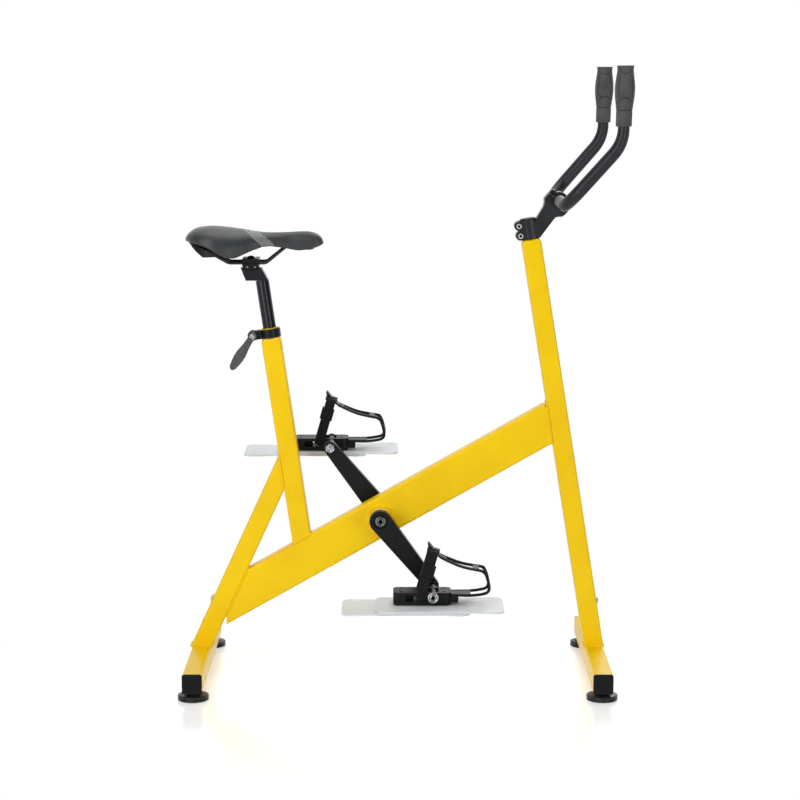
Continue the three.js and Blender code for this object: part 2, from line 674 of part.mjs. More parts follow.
function foot() {
  const neckTop = BASE_BOTTOM - GAP;
  return turned([
    [0, 0], [FOOT_RADIUS - FOOT_EDGE, 0], [FOOT_RADIUS, FOOT_EDGE], [FOOT_RADIUS, FOOT_RIM],
    [FOOT_SHOULDER_RADIUS, FOOT_SHOULDER_HEIGHT], [FOOT_NECK_RADIUS, FOOT_SHOULDER_HEIGHT + FOOT_EDGE],
    [FOOT_NECK_RADIUS, neckTop], [STUD_RADIUS, neckTop], [STUD_RADIUS, neckTop + STUD_LENGTH],
    [0, neckTop + STUD_LENGTH],
  ], SIDES_MEDIUM);
}

function domedBolt(headRadius, headHeight, radius, length) {
  const half = headRadius * Math.SQRT1_2;
  return turned([
    [0, -length], [radius, -length], [radius, 0], [headRadius, 0], [headRadius, headHeight * DOME_RIM_SHARE],
    [half, headHeight * DOME_SHOULDER_SHARE], [0, headHeight],
  ], SIDES_SMALL);
}

function buildFrame() {
  piece('front_upright', frontUpright(), PAINT, uprightFrame);
  piece('seat_tube', seatTube(), PAINT, seatFrame);
  piece('rear_leg', rearLeg(), PAINT, legFrame);
  piece('cross_beam', crossBeam(), PAINT, beamFrame);
  const bases = { rear: -WHEELBASE / 2, front: WHEELBASE / 2 };
  const sides = { right: -1, left: 1 };
  for (const [end, x] of Object.entries(bases)) {
    const baseFrame = frameAt(x, 0, BASE_CENTRE_HEIGHT, 0);
    piece(`${end}_base_beam`, baseBeam(), PAINT, baseFrame);
    for (const [sideName, side] of Object.entries(sides)) {
      const cap = endCap().rotateZ(side > 0 ? HALF_TURN : 0);
      cap.translate(0, side * (BASE_WIDTH / 2 - CAP_CROWN), 0);
      piece(`${end}_${sideName}_end_cap`, cap, BLACK_PLASTIC, baseFrame);
      const stand = foot().translate(0, side * (BASE_WIDTH / 2 - FOOT_INSET), -BASE_CENTRE_HEIGHT);
      piece(`${end}_${sideName}_foot`, stand, BLACK_PLASTIC, baseFrame);
    }
  }
  const legBolt = domedBolt(LEG_BOLT_HEAD_RADIUS, LEG_BOLT_HEAD_HEIGHT, LEG_BOLT_RADIUS, LEG_BOLT_LENGTH);
  const seat = TUBE / 2 + GAP;
  const frontBolt = legBolt.clone().rotateY(QUARTER_TURN);
  frontBolt.translate(seat, 0, LEG_BOLT_HEIGHT / Math.cos(UPRIGHT_LEAN));
  piece('front_leg_bolt', frontBolt, STEEL, uprightFrame);
  const rearBolt = legBolt.clone().rotateY(-QUARTER_TURN);
  rearBolt.translate(-seat, 0, LEG_BOLT_HEIGHT / Math.cos(LEG_LEAN));
  piece('rear_leg_bolt', rearBolt, STEEL, legFrame);
}

// Crank axle
const axleFrame = frameAt(AXLE_X, 0, AXLE_HEIGHT, CRANK_ANGLE);
const BUSH_RADIUS = SHELL_RADIUS - SHELL_WALL - GAP;
const CRANK_OUTER = CRANK_INNER + CRANK_THICKNESS;
const SPINDLE_END = CRANK_OUTER - CRANK_BOLT_RECESS - GAP;

function alongY(geometry) {
  return geometry.rotateX(QUARTER_TURN);
}

function bottomBracketShell() {
  return alongY(washer(SHELL_RADIUS, SHELL_RADIUS - SHELL_WALL, -SHELL_HALF_LENGTH, SHELL_HALF_LENGTH,
    SIDES_LARGE));
}

function bush() {
  const bore = AXLE_RADIUS + GAP;
  return alongY(turned([
    [bore, SHELL_HALF_LENGTH - BUSH_LENGTH], [BUSH_RADIUS, SHELL_HALF_LENGTH - BUSH_LENGTH],
    [BUSH_RADIUS, SHELL_HALF_LENGTH + GAP], [BUSH_FLANGE_RADIUS, SHELL_HALF_LENGTH + GAP],
    [BUSH_FLANGE_RADIUS, SHELL_HALF_LENGTH + BUSH_FLANGE], [bore, SHELL_HALF_LENGTH + BUSH_FLANGE],
    [bore, SHELL_HALF_LENGTH - BUSH_LENGTH],
  ]));
}

function crankAxle() {
  const half = SPINDLE_SQUARE / 2;
  const shoulderEnd = CRANK_INNER - CRANK_BOSS - GAP;
  const round = crossRod(AXLE_RADIUS, -shoulderEnd, shoulderEnd);
  const squareStart = shoulderEnd - OVERRUN;
  const rightSquare = block(-half, half, -SPINDLE_END, -squareStart, -half, half);
  const leftSquare = block(-half, half, squareStart, SPINDLE_END, -half, half);
  const threads = [-1, 1].map((side) => {
    const depth = SPINDLE_END - CRANK_BOLT_LENGTH - GAP;
    return side > 0
      ? crossRod(CRANK_BOLT_RADIUS + GAP, depth, SPINDLE_END + OVERRUN, SIDES_SMALL)
      : crossRod(CRANK_BOLT_RADIUS + GAP, -SPINDLE_END - OVERRUN, -depth, SIDES_SMALL);
  });
  return cut(join(round, rightSquare, leftSquare), ...threads);
}

function taperedOutline(headRadius, eyeRadius, length) {
  const lean = Math.acos((headRadius - eyeRadius) / length);
  const shape = new THREE.Shape();
  shape.absarc(0, 0, headRadius, lean, 2 * HALF_TURN - lean);
  shape.absarc(length, 0, eyeRadius, -lean, lean);
  shape.closePath();
  return shape;
}

function halfWidthAt(along) {
  return CRANK_HEAD_RADIUS + ((CRANK_EYE_RADIUS - CRANK_HEAD_RADIUS) * along) / CRANK_LENGTH;
}

function crankPanel() {
  const start = halfWidthAt(PANEL_START) - PANEL_BORDER;
  const end = halfWidthAt(PANEL_END) - PANEL_BORDER;
  const outline = polygon([
    [PANEL_START, -start], [PANEL_END - end, -end], [PANEL_END, 0], [PANEL_END - end, end],
    [PANEL_START, start], [PANEL_START + start, 0],
  ]);
  return extrudedAcross(outline, -CRANK_OUTER - OVERRUN, -CRANK_OUTER + PANEL_DEPTH);
}

function rightCrank() {
  const outline = taperedOutline(CRANK_HEAD_RADIUS, CRANK_EYE_RADIUS, CRANK_LENGTH);
  const arm = extrudedAcross(outline, -CRANK_OUTER, -CRANK_INNER, SIDES_SMALL);
  const hub = crossRod(CRANK_HEAD_RADIUS - PANEL_BORDER, -CRANK_OUTER + CRANK_BOLT_RECESS,
    -CRANK_INNER + CRANK_BOSS);
  const half = SPINDLE_SQUARE / 2 + GAP;
  const socket = block(-half, half, -CRANK_OUTER - OVERRUN, 0, -half, half);
  const recess = crossRod(CRANK_BOLT_RECESS_RADIUS, -CRANK_OUTER - OVERRUN,
    -CRANK_OUTER + CRANK_BOLT_RECESS);
  const eye = crossRod(PEDAL_THREAD_RADIUS + GAP, -CRANK_OUTER - OVERRUN, 0, SIDES_SMALL);
  eye.translate(CRANK_LENGTH, 0, 0);
  return cut(join(arm, hub), socket, recess, eye, crankPanel());
}

function crankBolt() {
  const seat = SPINDLE_END + GAP;
  const bolt = crossRod(CRANK_BOLT_HEAD_RADIUS, -seat - CRANK_BOLT_HEAD, -seat);
  const shank = crossRod(CRANK_BOLT_RADIUS, -seat - CRANK_BOLT_HEAD, -seat + CRANK_BOLT_LENGTH, SIDES_SMALL);
  const socket = crossRod(HEX_RADIUS, -seat - CRANK_BOLT_HEAD - OVERRUN, -seat - CRANK_BOLT_HEAD + HEX_DEPTH,
    HEX_SIDES);
  return cut(join(bolt, shank), socket);
}

const PEDAL_OUTER = PEDAL_CENTRE + PEDAL_WIDTH / 2;

function pedalAxle() {
  const nut = crossRod(PEDAL_NUT_RADIUS, -CRANK_INNER + GAP, -CRANK_INNER + GAP + PEDAL_NUT, HEX_SIDES);
  const thread = crossRod(PEDAL_THREAD_RADIUS, -CRANK_OUTER - GAP - PEDAL_COLLAR, -CRANK_INNER + PEDAL_NUT,
    SIDES_SMALL);
  const collar = crossRod(PEDAL_COLLAR_RADIUS, -CRANK_OUTER - GAP - PEDAL_COLLAR, -CRANK_OUTER - GAP);
  const shaft = crossRod(PEDAL_AXLE_RADIUS, -PEDAL_OUTER - GAP - PEDAL_BOLT_HEAD, -CRANK_OUTER - GAP,
    SIDES_SMALL);
  const head = crossRod(PEDAL_BOLT_HEAD_RADIUS, -PEDAL_OUTER - GAP - PEDAL_BOLT_HEAD, -PEDAL_OUTER - GAP);
  const headFace = -PEDAL_OUTER - GAP - PEDAL_BOLT_HEAD;
  const socket = crossRod(HEX_RADIUS, headFace - OVERRUN, headFace + HEX_DEPTH, HEX_SIDES);
  return cut(join(nut, thread, collar, shaft, head), socket).translate(CRANK_LENGTH, 0, 0);
}

function buildCrankset() {
  piece('bottom_bracket_shell', bottomBracketShell(), PAINT, beamFrame);
  piece('right_axle_bush', bush(), BUSH_PLASTIC, beamFrame);
  piece('left_axle_bush', bush().rotateZ(HALF_TURN), BUSH_PLASTIC, beamFrame);
  piece('crank_axle', crankAxle(), STEEL, axleFrame);
  const sides = { right: 0, left: HALF_TURN };
  for (const [sideName, turn] of Object.entries(sides)) {
    piece(`${sideName}_crank`, rightCrank().rotateZ(turn), BLACK_METAL, axleFrame);
    piece(`${sideName}_crank_bolt`, crankBolt().rotateZ(turn), STEEL, axleFrame);
    piece(`${sideName}_pedal_axle`, pedalAxle().rotateZ(turn), STEEL, axleFrame);
  }
}

// Pedals, drawn for the right side with the outer side at negative Y
const FIN_UPPER_TOP = -PEDAL_BOTTOM - BOSS_DROP - GAP;
const FIN_LOWER_TOP = FIN_UPPER_TOP - FIN_THICKNESS - GAP;

function pegPlaces() {
  const places = [];
  for (const x of [-PEG_REAR, PEG_FRONT]) {
    for (const y of [-PEG_SPREAD / 2, PEG_SPREAD / 2]) places.push([x, y]);
  }
  return places;
}

function pedalBody() {
  const outline = roundedRectangle(PEDAL_REAR + PEDAL_FRONT, PEDAL_WIDTH, PEDAL_CORNER);
  const slabCentre = (PEDAL_FRONT - PEDAL_REAR) / 2;
  const slab = extruded(outline, -PEDAL_BOTTOM, PEDAL_TOP, ARC_STEPS).translate(slabCentre, 0, 0);
  const window = block(-WINDOW_REAR, WINDOW_FRONT, -WINDOW_WIDTH / 2, WINDOW_WIDTH / 2,
    -PEDAL_BOTTOM - OVERRUN, PEDAL_TOP + OVERRUN);
  const barrel = crossRod(BARREL_RADIUS, -PEDAL_WIDTH / 2, PEDAL_WIDTH / 2 + BARREL_REACH);
  const tunnel = block(-STRAP_TUNNEL_REAR, -STRAP_TUNNEL_FRONT, -PEDAL_WIDTH, PEDAL_WIDTH,
    -STRAP_TUNNEL_BOTTOM, STRAP_TUNNEL_TOP);
  const half = CLIP_BLOCK_WIDTH / 2;
  const clipBlock = block(PEDAL_FRONT - PEDAL_CORNER, PEDAL_FRONT + CLIP_BLOCK, -half, half,
    -PEDAL_BOTTOM, CLIP_ROOT_HEIGHT - CLIP_THICKNESS / 2 - GAP);
  const bore = crossRod(PEDAL_AXLE_RADIUS + GAP, -PEDAL_WIDTH, PEDAL_WIDTH + BARREL_REACH);
  const bosses = pegPlaces().map(([x, y]) => {
    const boss = rod(BOSS_RADIUS, -PEDAL_BOTTOM - BOSS_DROP, -PEDAL_BOTTOM + PEDAL_SKIN, SIDES_SMALL);
    return boss.translate(x, y, 0);
  });
  const headTop = FIN_LOWER_TOP - FIN_THICKNESS - GAP;
  const pegs = pegPlaces().map(([x, y]) => {
    const peg = turned([
      [0, headTop - PEG_HEAD], [PEG_HEAD_RADIUS, headTop - PEG_HEAD], [PEG_HEAD_RADIUS, headTop],
      [PEG_RADIUS, headTop], [PEG_RADIUS, -PEDAL_BOTTOM], [0, -PEDAL_BOTTOM],
    ], SIDES_SMALL);
    return peg.translate(x, y, 0);
  });
  const holes = pegPlaces().map(([x, y]) => {
    const hole = rod(PEG_HOLE_RADIUS, PEDAL_TOP - PEDAL_SKIN, PEDAL_TOP + OVERRUN, SIDES_SMALL);
    return hole.translate(x, y, 0);
  });
  return cut(join(cut(slab, window), barrel, clipBlock, ...bosses, ...pegs), tunnel, bore, ...holes);
}

function finOutline() {
  const x = FIN_LENGTH / 2;
  const y = FIN_WIDTH / 2;
  const shape = new THREE.Shape();
  shape.moveTo(x, -y + FIN_CORNER);
  shape.lineTo(x, y - FIN_CORNER);
  shape.quadraticCurveTo(x, y, x - FIN_CORNER, y);
  shape.quadraticCurveTo(0, y - 2 * FIN_WAIST, -x + FIN_CORNER, y);
  shape.quadraticCurveTo(-x, y, -x, y - FIN_CORNER);
  shape.lineTo(-x, -y + FIN_CORNER);
  shape.quadraticCurveTo(-x, -y, -x + FIN_CORNER, -y);
  shape.quadraticCurveTo(0, -y + 2 * FIN_WAIST, x - FIN_CORNER, -y);
  shape.quadraticCurveTo(x, -y, x, -y + FIN_CORNER);
  return shape;
}

function fin(front, top) {
  const plate = extruded(finOutline(), top - FIN_THICKNESS, top, ARC_STEPS);
  plate.translate(front - FIN_LENGTH / 2, -FIN_OFFSET, 0);
  const holes = pegPlaces().map(([x, y]) => {
    const hole = rod(PEG_RADIUS + GAP, top - FIN_THICKNESS - OVERRUN, top + OVERRUN, SIDES_SMALL);
    return hole.translate(x, y, 0);
  });
  return cut(plate, ...holes);
}

function clipPath() {
  return new THREE.CatmullRomCurve3(CLIP_LENGTH_SHARES.map((share, index) => {
    const height = CLIP_ROOT_HEIGHT + CLIP_HEIGHT_SHARES[index] * CLIP_HEIGHT;
    return new THREE.Vector3(PEDAL_FRONT + GAP + share * CLIP_LENGTH, 0, height);
  }));
}

function clipWidthAt(share) {
  const half = HALF_TURN / 2;
  if (share < CLIP_WIDEST_SHARE) {
    const part = Math.sin((share / CLIP_WIDEST_SHARE) * half);
    return CLIP_ROOT_WIDTH + (CLIP_TOE_WIDTH - CLIP_ROOT_WIDTH) * part;
  }
  const part = Math.cos(((share - CLIP_WIDEST_SHARE) / (1 - CLIP_WIDEST_SHARE)) * half);
  return CLIP_TOP_WIDTH + (CLIP_TOE_WIDTH - CLIP_TOP_WIDTH) * part;
}

// A stretch of the clip's band, narrowed on each side and thickened both ways
function clipBand(fromShare, toShare, narrowing, thickening, steps) {
  const path = clipPath();
  const rings = [];
  for (let step = 0; step <= steps; step += 1) {
    const share = fromShare + ((toShare - fromShare) * step) / steps;
    const centre = path.getPointAt(share);
    const along = path.getTangentAt(share);
    const out = new THREE.Vector3(-along.z, 0, along.x);
    const halfWidth = clipWidthAt(share) / 2 - narrowing;
    const halfThickness = CLIP_THICKNESS / 2 + thickening;
    rings.push([[-1, -1], [1, -1], [1, 1], [-1, 1]].map(([across, through]) => {
      const point = centre.clone().addScaledVector(out, through * halfThickness);
      point.y = across * halfWidth;
      return point;
    }));
  }
  return skinned(rings);
}

function toeClip() {
  const band = clipBand(0, 1, 0, 0, CLIP_STEPS);
  const slots = CLIP_SLOT_SHARES.map(([from, to]) => {
    const steps = Math.ceil((to - from) * CLIP_STEPS);
    return clipBand(from, to, CLIP_RIB, CLIP_THICKNESS, steps);
  });
  const keeperHalf = STRAP_WIDTH / 2 + GAP + KEEPER_WALL;
  const top = STRAP_HEIGHT + STRAP_THICKNESS / 2 + GAP + KEEPER_WALL;
  const keeper = inStrapPlane(block(-keeperHalf, keeperHalf, -KEEPER_LENGTH / 2, KEEPER_LENGTH / 2,
    STRAP_HEIGHT - STRAP_THICKNESS - 2 * KEEPER_WALL, top));
  const slotHalf = STRAP_THICKNESS / 2 + GAP;
  const half = STRAP_WIDTH / 2 + GAP;
  const strapSlot = inStrapPlane(block(-half, half, -CLIP_TOE_WIDTH, CLIP_TOE_WIDTH,
    STRAP_HEIGHT - slotHalf, STRAP_HEIGHT + slotHalf));
  return cut(join(cut(band, ...slots), keeper), strapSlot);
}

function inStrapPlane(geometry) {
  return geometry.rotateY(STRAP_LEAN).translate(STRAP_FOOT, 0, -STRAP_FOOT_DROP);
}

function strapLoop(offset) {
  const foot = STRAP_FOOT_HALF_WIDTH + offset;
  const top = STRAP_TOP_HALF_WIDTH + offset;
  const height = STRAP_HEIGHT + offset;
  const bend = STRAP_BEND + offset;
  const corners = [[foot, -offset], [top, height], [-top, height], [-foot, -offset]];
  const shape = new THREE.Shape();
  corners.forEach(([x, y], index) => {
    const [beforeX, beforeY] = corners.at(index - 1);
    const [afterX, afterY] = corners[(index + 1) % corners.length];
    const before = new THREE.Vector2(beforeX - x, beforeY - y).normalize().multiplyScalar(bend);
    const after = new THREE.Vector2(afterX - x, afterY - y).normalize().multiplyScalar(bend);
    if (index === 0) shape.moveTo(x + before.x, y + before.y);
    else shape.lineTo(x + before.x, y + before.y);
    shape.quadraticCurveTo(x, y, x + after.x, y + after.y);
  });
  shape.closePath();
  return shape;
}

function toeStrap() {
  const shape = strapLoop(STRAP_THICKNESS / 2);
  shape.holes.push(strapLoop(-STRAP_THICKNESS / 2));
  const loop = extruded(shape, -STRAP_WIDTH / 2, STRAP_WIDTH / 2, ARC_STEPS);
  return inStrapPlane(loop.rotateX(QUARTER_TURN).rotateZ(QUARTER_TURN));
}

function strapBuckle() {
  const height = STRAP_HEIGHT * BUCKLE_PLACE_SHARE;
  const drawIn = (STRAP_FOOT_HALF_WIDTH - STRAP_TOP_HALF_WIDTH) / STRAP_HEIGHT;
  const side = STRAP_FOOT_HALF_WIDTH - drawIn * height;
  const halfSpan = BUCKLE_SPAN / 2;
  const body = block(-halfSpan, halfSpan, -BUCKLE_DEPTH / 2, BUCKLE_DEPTH / 2, -BUCKLE_HEIGHT / 2,
    BUCKLE_HEIGHT / 2);
  const half = STRAP_WIDTH / 2 + GAP;
  const slotHalf = STRAP_THICKNESS / 2 + GAP;
  const slot = block(-half, half, -slotHalf, slotHalf, -BUCKLE_HEIGHT, BUCKLE_HEIGHT);
  const buckle = cut(body, slot).rotateX(-Math.atan(drawIn));
  return inStrapPlane(buckle.translate(0, -side, height));
}

function buildPedals() {
  const sides = { right: -1, left: 1 };
  for (const [sideName, side] of Object.entries(sides)) {
    const eyeX = AXLE_X - side * CRANK_LENGTH * Math.cos(CRANK_ANGLE);
    const eyeZ = AXLE_HEIGHT + side * CRANK_LENGTH * Math.sin(CRANK_ANGLE);
    const frame = frameAt(eyeX, side * PEDAL_CENTRE, eyeZ, 0);
    const sided = (geometry) => (side > 0 ? mirrored(geometry) : geometry);
    piece(`${sideName}_pedal_body`, sided(pedalBody()), BLACK_PLASTIC, frame);
    piece(`${sideName}_toe_clip`, sided(toeClip()), BLACK_PLASTIC, frame);
    piece(`${sideName}_toe_strap`, sided(toeStrap()), WEBBING, frame);
    piece(`${sideName}_strap_buckle`, sided(strapBuckle()), BLACK_PLASTIC, frame);
    piece(`${sideName}_upper_fin`, sided(fin(FIN_UPPER_FRONT, FIN_UPPER_TOP)), CLEAR_PLASTIC, frame);
    piece(`${sideName}_lower_fin`, sided(fin(FIN_LOWER_FRONT, FIN_LOWER_TOP)), CLEAR_PLASTIC, frame);
  }
}

// Seat collar, lever and post, drawn along the seat tube's line
const COLLAR_FOOT = SEAT_TUBE_LENGTH + SHOULDER_HEIGHT + GAP;
const COLLAR_MIDDLE = COLLAR_FOOT + COLLAR_HEIGHT / 2;
const COLLAR_RADIUS = NECK_RADIUS + GAP + COLLAR_WALL;
const EAR_FACE = EAR_WIDTH + SLOT_WIDTH / 2;
const LEVER_FACE = EAR_FACE + GAP + LEVER_THICKNESS;

function seatCollar() {
  const top = COLLAR_FOOT + COLLAR_HEIGHT;
  const ring = rod(COLLAR_RADIUS, COLLAR_FOOT, top, SIDES_LARGE);
  const tongue = block(-EAR_REACH, 0, -EAR_FACE, EAR_FACE, COLLAR_FOOT, top);
  const ears = crossRod(EAR_RADIUS, -EAR_FACE, EAR_FACE).translate(-EAR_REACH, 0, COLLAR_MIDDLE);
  const bore = rod(NECK_RADIUS + GAP, COLLAR_FOOT - OVERRUN, top + OVERRUN, SIDES_LARGE);
  const slit = block(-EAR_REACH - 2 * EAR_RADIUS, 0, -SLOT_WIDTH / 2, SLOT_WIDTH / 2,
    COLLAR_FOOT - OVERRUN, top + OVERRUN);
  const hole = crossRod(SKEWER_RADIUS + GAP, -TUBE, TUBE, SIDES_SMALL);
  return cut(join(ring, tongue, ears), bore, slit, hole.translate(-EAR_REACH, 0, COLLAR_MIDDLE));
}

function collarSkewer() {
  const shank = crossRod(SKEWER_RADIUS, -LEVER_FACE - GAP - SKEWER_HEAD_HEIGHT,
    EAR_FACE + GAP + SKEWER_HEAD_HEIGHT, SIDES_SMALL);
  const head = crossRod(SKEWER_HEAD_RADIUS, -LEVER_FACE - GAP - SKEWER_HEAD_HEIGHT, -LEVER_FACE - GAP);
  const nut = crossRod(SKEWER_HEAD_RADIUS, EAR_FACE + GAP, EAR_FACE + GAP + SKEWER_HEAD_HEIGHT,
    HEX_SIDES);
  return join(shank, head, nut).translate(-EAR_REACH, 0, COLLAR_MIDDLE);
}

function leverOutline() {
  const half = LEVER_WIDTH / 2;
  const shape = new THREE.Shape();
  shape.moveTo(0, -LEVER_NECK_SHARE * half);
  for (const [bendX, bendY, endX, endY] of LEVER_CURVE_SHARES) {
    shape.quadraticCurveTo(bendX * LEVER_LENGTH, bendY * half, endX * LEVER_LENGTH, endY * half);
  }
  shape.closePath();
  return shape;
}

function clampLever() {
  const leaf = extrudedAcross(leverOutline(), -LEVER_FACE, -EAR_FACE - GAP);
  const eye = crossRod(LEVER_EYE_RADIUS, -LEVER_FACE, -EAR_FACE - GAP);
  const hole = crossRod(SKEWER_RADIUS + GAP, -LEVER_FACE - OVERRUN, 0, SIDES_SMALL);
  const lever = cut(join(leaf, eye), hole).rotateY(LEVER_SLOPE);
  return lever.translate(-EAR_REACH, 0, COLLAR_MIDDLE);
}

const HEAD_FOOT = COLLAR_FOOT + COLLAR_HEIGHT + POST_SHOWN;
const clampCentreX = seatFootX + HEAD_FOOT * Math.sin(SEAT_LEAN) - HEAD_SETBACK;
const seatLineTop = seatFootZ + HEAD_FOOT * Math.cos(SEAT_LEAN);
const clampFrame = frameAt(clampCentreX, 0, seatLineTop + HEAD_RISE, 0);

// Cylinder about the tilt axis, in the clamp's frame
function tiltRod(radius, halfWidth) {
  return crossRod(radius, -halfWidth, halfWidth, 2 * SIDES_LARGE).translate(0, 0, TILT_AXIS_HEIGHT);
}

function seatPost() {
  const tube = rod(POST_RADIUS, HEAD_FOOT - POST_LENGTH, HEAD_FOOT, SIDES_LARGE);
  const bore = rod(POST_RADIUS - POST_WALL, HEAD_FOOT - POST_LENGTH - OVERRUN, HEAD_FOOT - POST_WALL);
  const outline = polygon([
    [-HEAD_HALF_LENGTH, -HEAD_TOP_DROP], [-HEAD_HALF_LENGTH / 2, -HEAD_RISE],
    [HEAD_SETBACK + POST_RADIUS, -HEAD_RISE], [HEAD_HALF_LENGTH, -HEAD_TOP_DROP],
  ]);
  const casting = extrudedAcross(outline, -HEAD_WIDTH / 2, HEAD_WIDTH / 2);
  const seat = tiltRod(TILT_RADIUS, HEAD_WIDTH);
  const pocketRadius = TILT_RADIUS + CLAMP_POCKET_DEPTH;
  const reach = pocketRadius * Math.tan(TILT_SLOT_ANGLE) + CLAMP_NUT_RADIUS + GAP;
  const slotHalf = CLAMP_NUT_RADIUS + GAP;
  const pocket = block(-reach, reach, -slotHalf, slotHalf, TILT_AXIS_HEIGHT - pocketRadius, 0);
  const head = fromFrame(cut(casting, seat, pocket), clampFrame, seatFrame);
  return cut(join(tube, head), bore);
}

function clampBlock(fromZ, toZ) {
  const halfWidth = RAIL_SPACING / 2 + RAIL_RADIUS + CLAMP_SIDE_WALL;
  return block(-CLAMP_LENGTH / 2, CLAMP_LENGTH / 2, -halfWidth, halfWidth, fromZ, toZ);
}

function railGrooves() {
  return [-1, 1].map((side) => {
    const groove = rod(RAIL_RADIUS + GAP, -CLAMP_LENGTH, CLAMP_LENGTH, SIDES_SMALL).rotateY(QUARTER_TURN);
    return groove.translate(0, (side * RAIL_SPACING) / 2, 0);
  });
}

function railCradle() {
  const upper = clampBlock(-RAIL_RADIUS - CLAMP_SIDE_WALL, -GAP / 2);
  const tongueHalf = HEAD_WIDTH / 2;
  const tongueBlock = block(-CLAMP_LENGTH / 2, CLAMP_LENGTH / 2, -tongueHalf, tongueHalf,
    TILT_AXIS_HEIGHT - TILT_RADIUS, -GAP / 2);
  const tongue = common(tongueBlock, tiltRod(TILT_RADIUS - GAP, HEAD_WIDTH));
  const windows = [-1, 1].map((side) => {
    const centre = side * (CLAMP_BOLT_RADIUS + CLAMP_WINDOW_WIDTH);
    const half = CLAMP_WINDOW_WIDTH / 2;
    const top = -RAIL_RADIUS - CLAMP_SIDE_WALL;
    return block(centre - half, centre + half, -HEAD_WIDTH, HEAD_WIDTH, top - CLAMP_WINDOW_HEIGHT, top);
  });
  const hole = rod(CLAMP_BOLT_RADIUS + GAP, -TILT_RADIUS - OVERRUN, OVERRUN, SIDES_SMALL);
  return cut(join(upper, tongue), ...railGrooves(), ...windows, hole);
}

function railCap() {
  const cap = clampBlock(GAP / 2, CLAMP_CAP_HEIGHT);
  const hole = rod(CLAMP_BOLT_RADIUS + GAP, -OVERRUN, CLAMP_CAP_HEIGHT + OVERRUN, SIDES_SMALL);
  const relief = block(-CAP_RELIEF_LENGTH / 2, CAP_RELIEF_LENGTH / 2, -RAIL_SPACING, -CAP_RELIEF_INNER,
    CLAMP_CAP_HEIGHT - CAP_RELIEF_DEPTH, CLAMP_CAP_HEIGHT + OVERRUN);
  return cut(cap, ...railGrooves(), hole, relief, mirrored(relief));
}

function clampBolt() {
  const head = CLAMP_CAP_HEIGHT + GAP;
  const foot = TILT_AXIS_HEIGHT - TILT_RADIUS - CLAMP_NUT_HEIGHT - 2 * GAP;
  const bolt = domedBolt(CLAMP_BOLT_HEAD_RADIUS, CLAMP_BOLT_HEAD_HEIGHT, CLAMP_BOLT_RADIUS, head - foot);
  const nut = rod(CLAMP_NUT_RADIUS - GAP, foot, foot + CLAMP_NUT_HEIGHT, SIDES_SMALL);
  return join(bolt.translate(0, 0, head), nut);
}

// Saddle
function saddleSection(share, halfWidth, foot, crown) {
  const points = [];
  for (let step = 0; step <= SADDLE_SECTION_STEPS; step += 1) {
    const angle = (HALF_TURN * step) / SADDLE_SECTION_STEPS;
    const side = Math.sign(Math.cos(angle)) * Math.abs(Math.cos(angle)) ** SADDLE_SECTION_POWER;
    const rise = Math.sin(angle) ** SADDLE_SECTION_POWER;
    const x = share * SADDLE_LENGTH - SADDLE_REAR_OVERHANG;
    points.push(new THREE.Vector3(x, halfWidth * side, foot + (crown - foot) * rise));
  }
  return points;
}

function saddleLoft(fromShare, toShare, sectionAt) {
  const rings = [];
  for (let station = 0; station <= SADDLE_STATIONS; station += 1) {
    const part = (1 - Math.cos((HALF_TURN * station) / SADDLE_STATIONS)) / 2;
    rings.push(sectionAt(fromShare + (toShare - fromShare) * part));
  }
  return skinned(rings);
}

function saddleHalfWidth(share) {
  return (valueAt(SADDLE_WIDTH_SHARES, share) * SADDLE_WIDTH) / 2;
}

function saddleEdge(share) {
  return valueAt(SADDLE_EDGE_SHARES, share) * SADDLE_HEIGHT;
}

// A domed top over straight sides that reach down by the drop
function baseSection(share, clearance, drop) {
  const halfWidth = Math.max(saddleHalfWidth(share) - SADDLE_SKIN, SADDLE_SKIN / 2) + clearance;
  const top = saddleEdge(share) + SADDLE_BASE_RISE + clearance;
  const rim = saddleEdge(share) + BASE_RECESS + SADDLE_BASE_EDGE;
  const dome = saddleSection(share, halfWidth, rim, top);
  const right = dome[dome.length - 1].clone();
  const left = dome[0].clone();
  right.z -= drop;
  left.z -= drop;
  return [...dome, right, left];
}

function saddleCover() {
  const outer = saddleLoft(0, 1, (share) => saddleSection(share, saddleHalfWidth(share), saddleEdge(share),
    valueAt(SADDLE_CROWN_SHARES, share) * SADDLE_HEIGHT));
  const margin = GAP / SADDLE_LENGTH;
  const hollow = saddleLoft(BASE_START_SHARE - margin, BASE_END_SHARE + margin,
    (share) => baseSection(share, GAP, SADDLE_HEIGHT));
  return cut(outer, hollow);
}

function bumperDrop(share) {
  const distance = (share - BUMPER_CENTRE_SHARE) / BUMPER_SPAN_SHARE;
  return Math.abs(distance) < 1 ? (BUMPER_DROP + BASE_RECESS) * Math.cos(distance * QUARTER_TURN) : 0;
}

function railLine(side) {
  const point = (x, spacing, z) => new THREE.Vector3(x, (side * spacing) / 2, z);
  const corners = [
    point(-RAIL_REAR_REACH, RAIL_REAR_SPACING, RAIL_REAR_RISE),
    point(-RAIL_FLAT_REAR, RAIL_SPACING, 0),
    point(RAIL_FLAT_FRONT, RAIL_SPACING, 0),
    point(RAIL_FRONT_REACH, RAIL_FRONT_SPACING, RAIL_FRONT_RISE),
  ];
  return bentLine(corners, [RAIL_BEND_RADIUS, RAIL_BEND_RADIUS]);
}

function rail(side, clearance) {
  return roundBar(railLine(side), RAIL_RADIUS + clearance, RAIL_SIDES, clearance);
}

function saddleBase() {
  const shell = saddleLoft(BASE_START_SHARE, BASE_END_SHARE,
    (share) => baseSection(share, 0, SADDLE_BASE_EDGE + bumperDrop(share)));
  return cut(shell, rail(-1, GAP), rail(1, GAP));
}

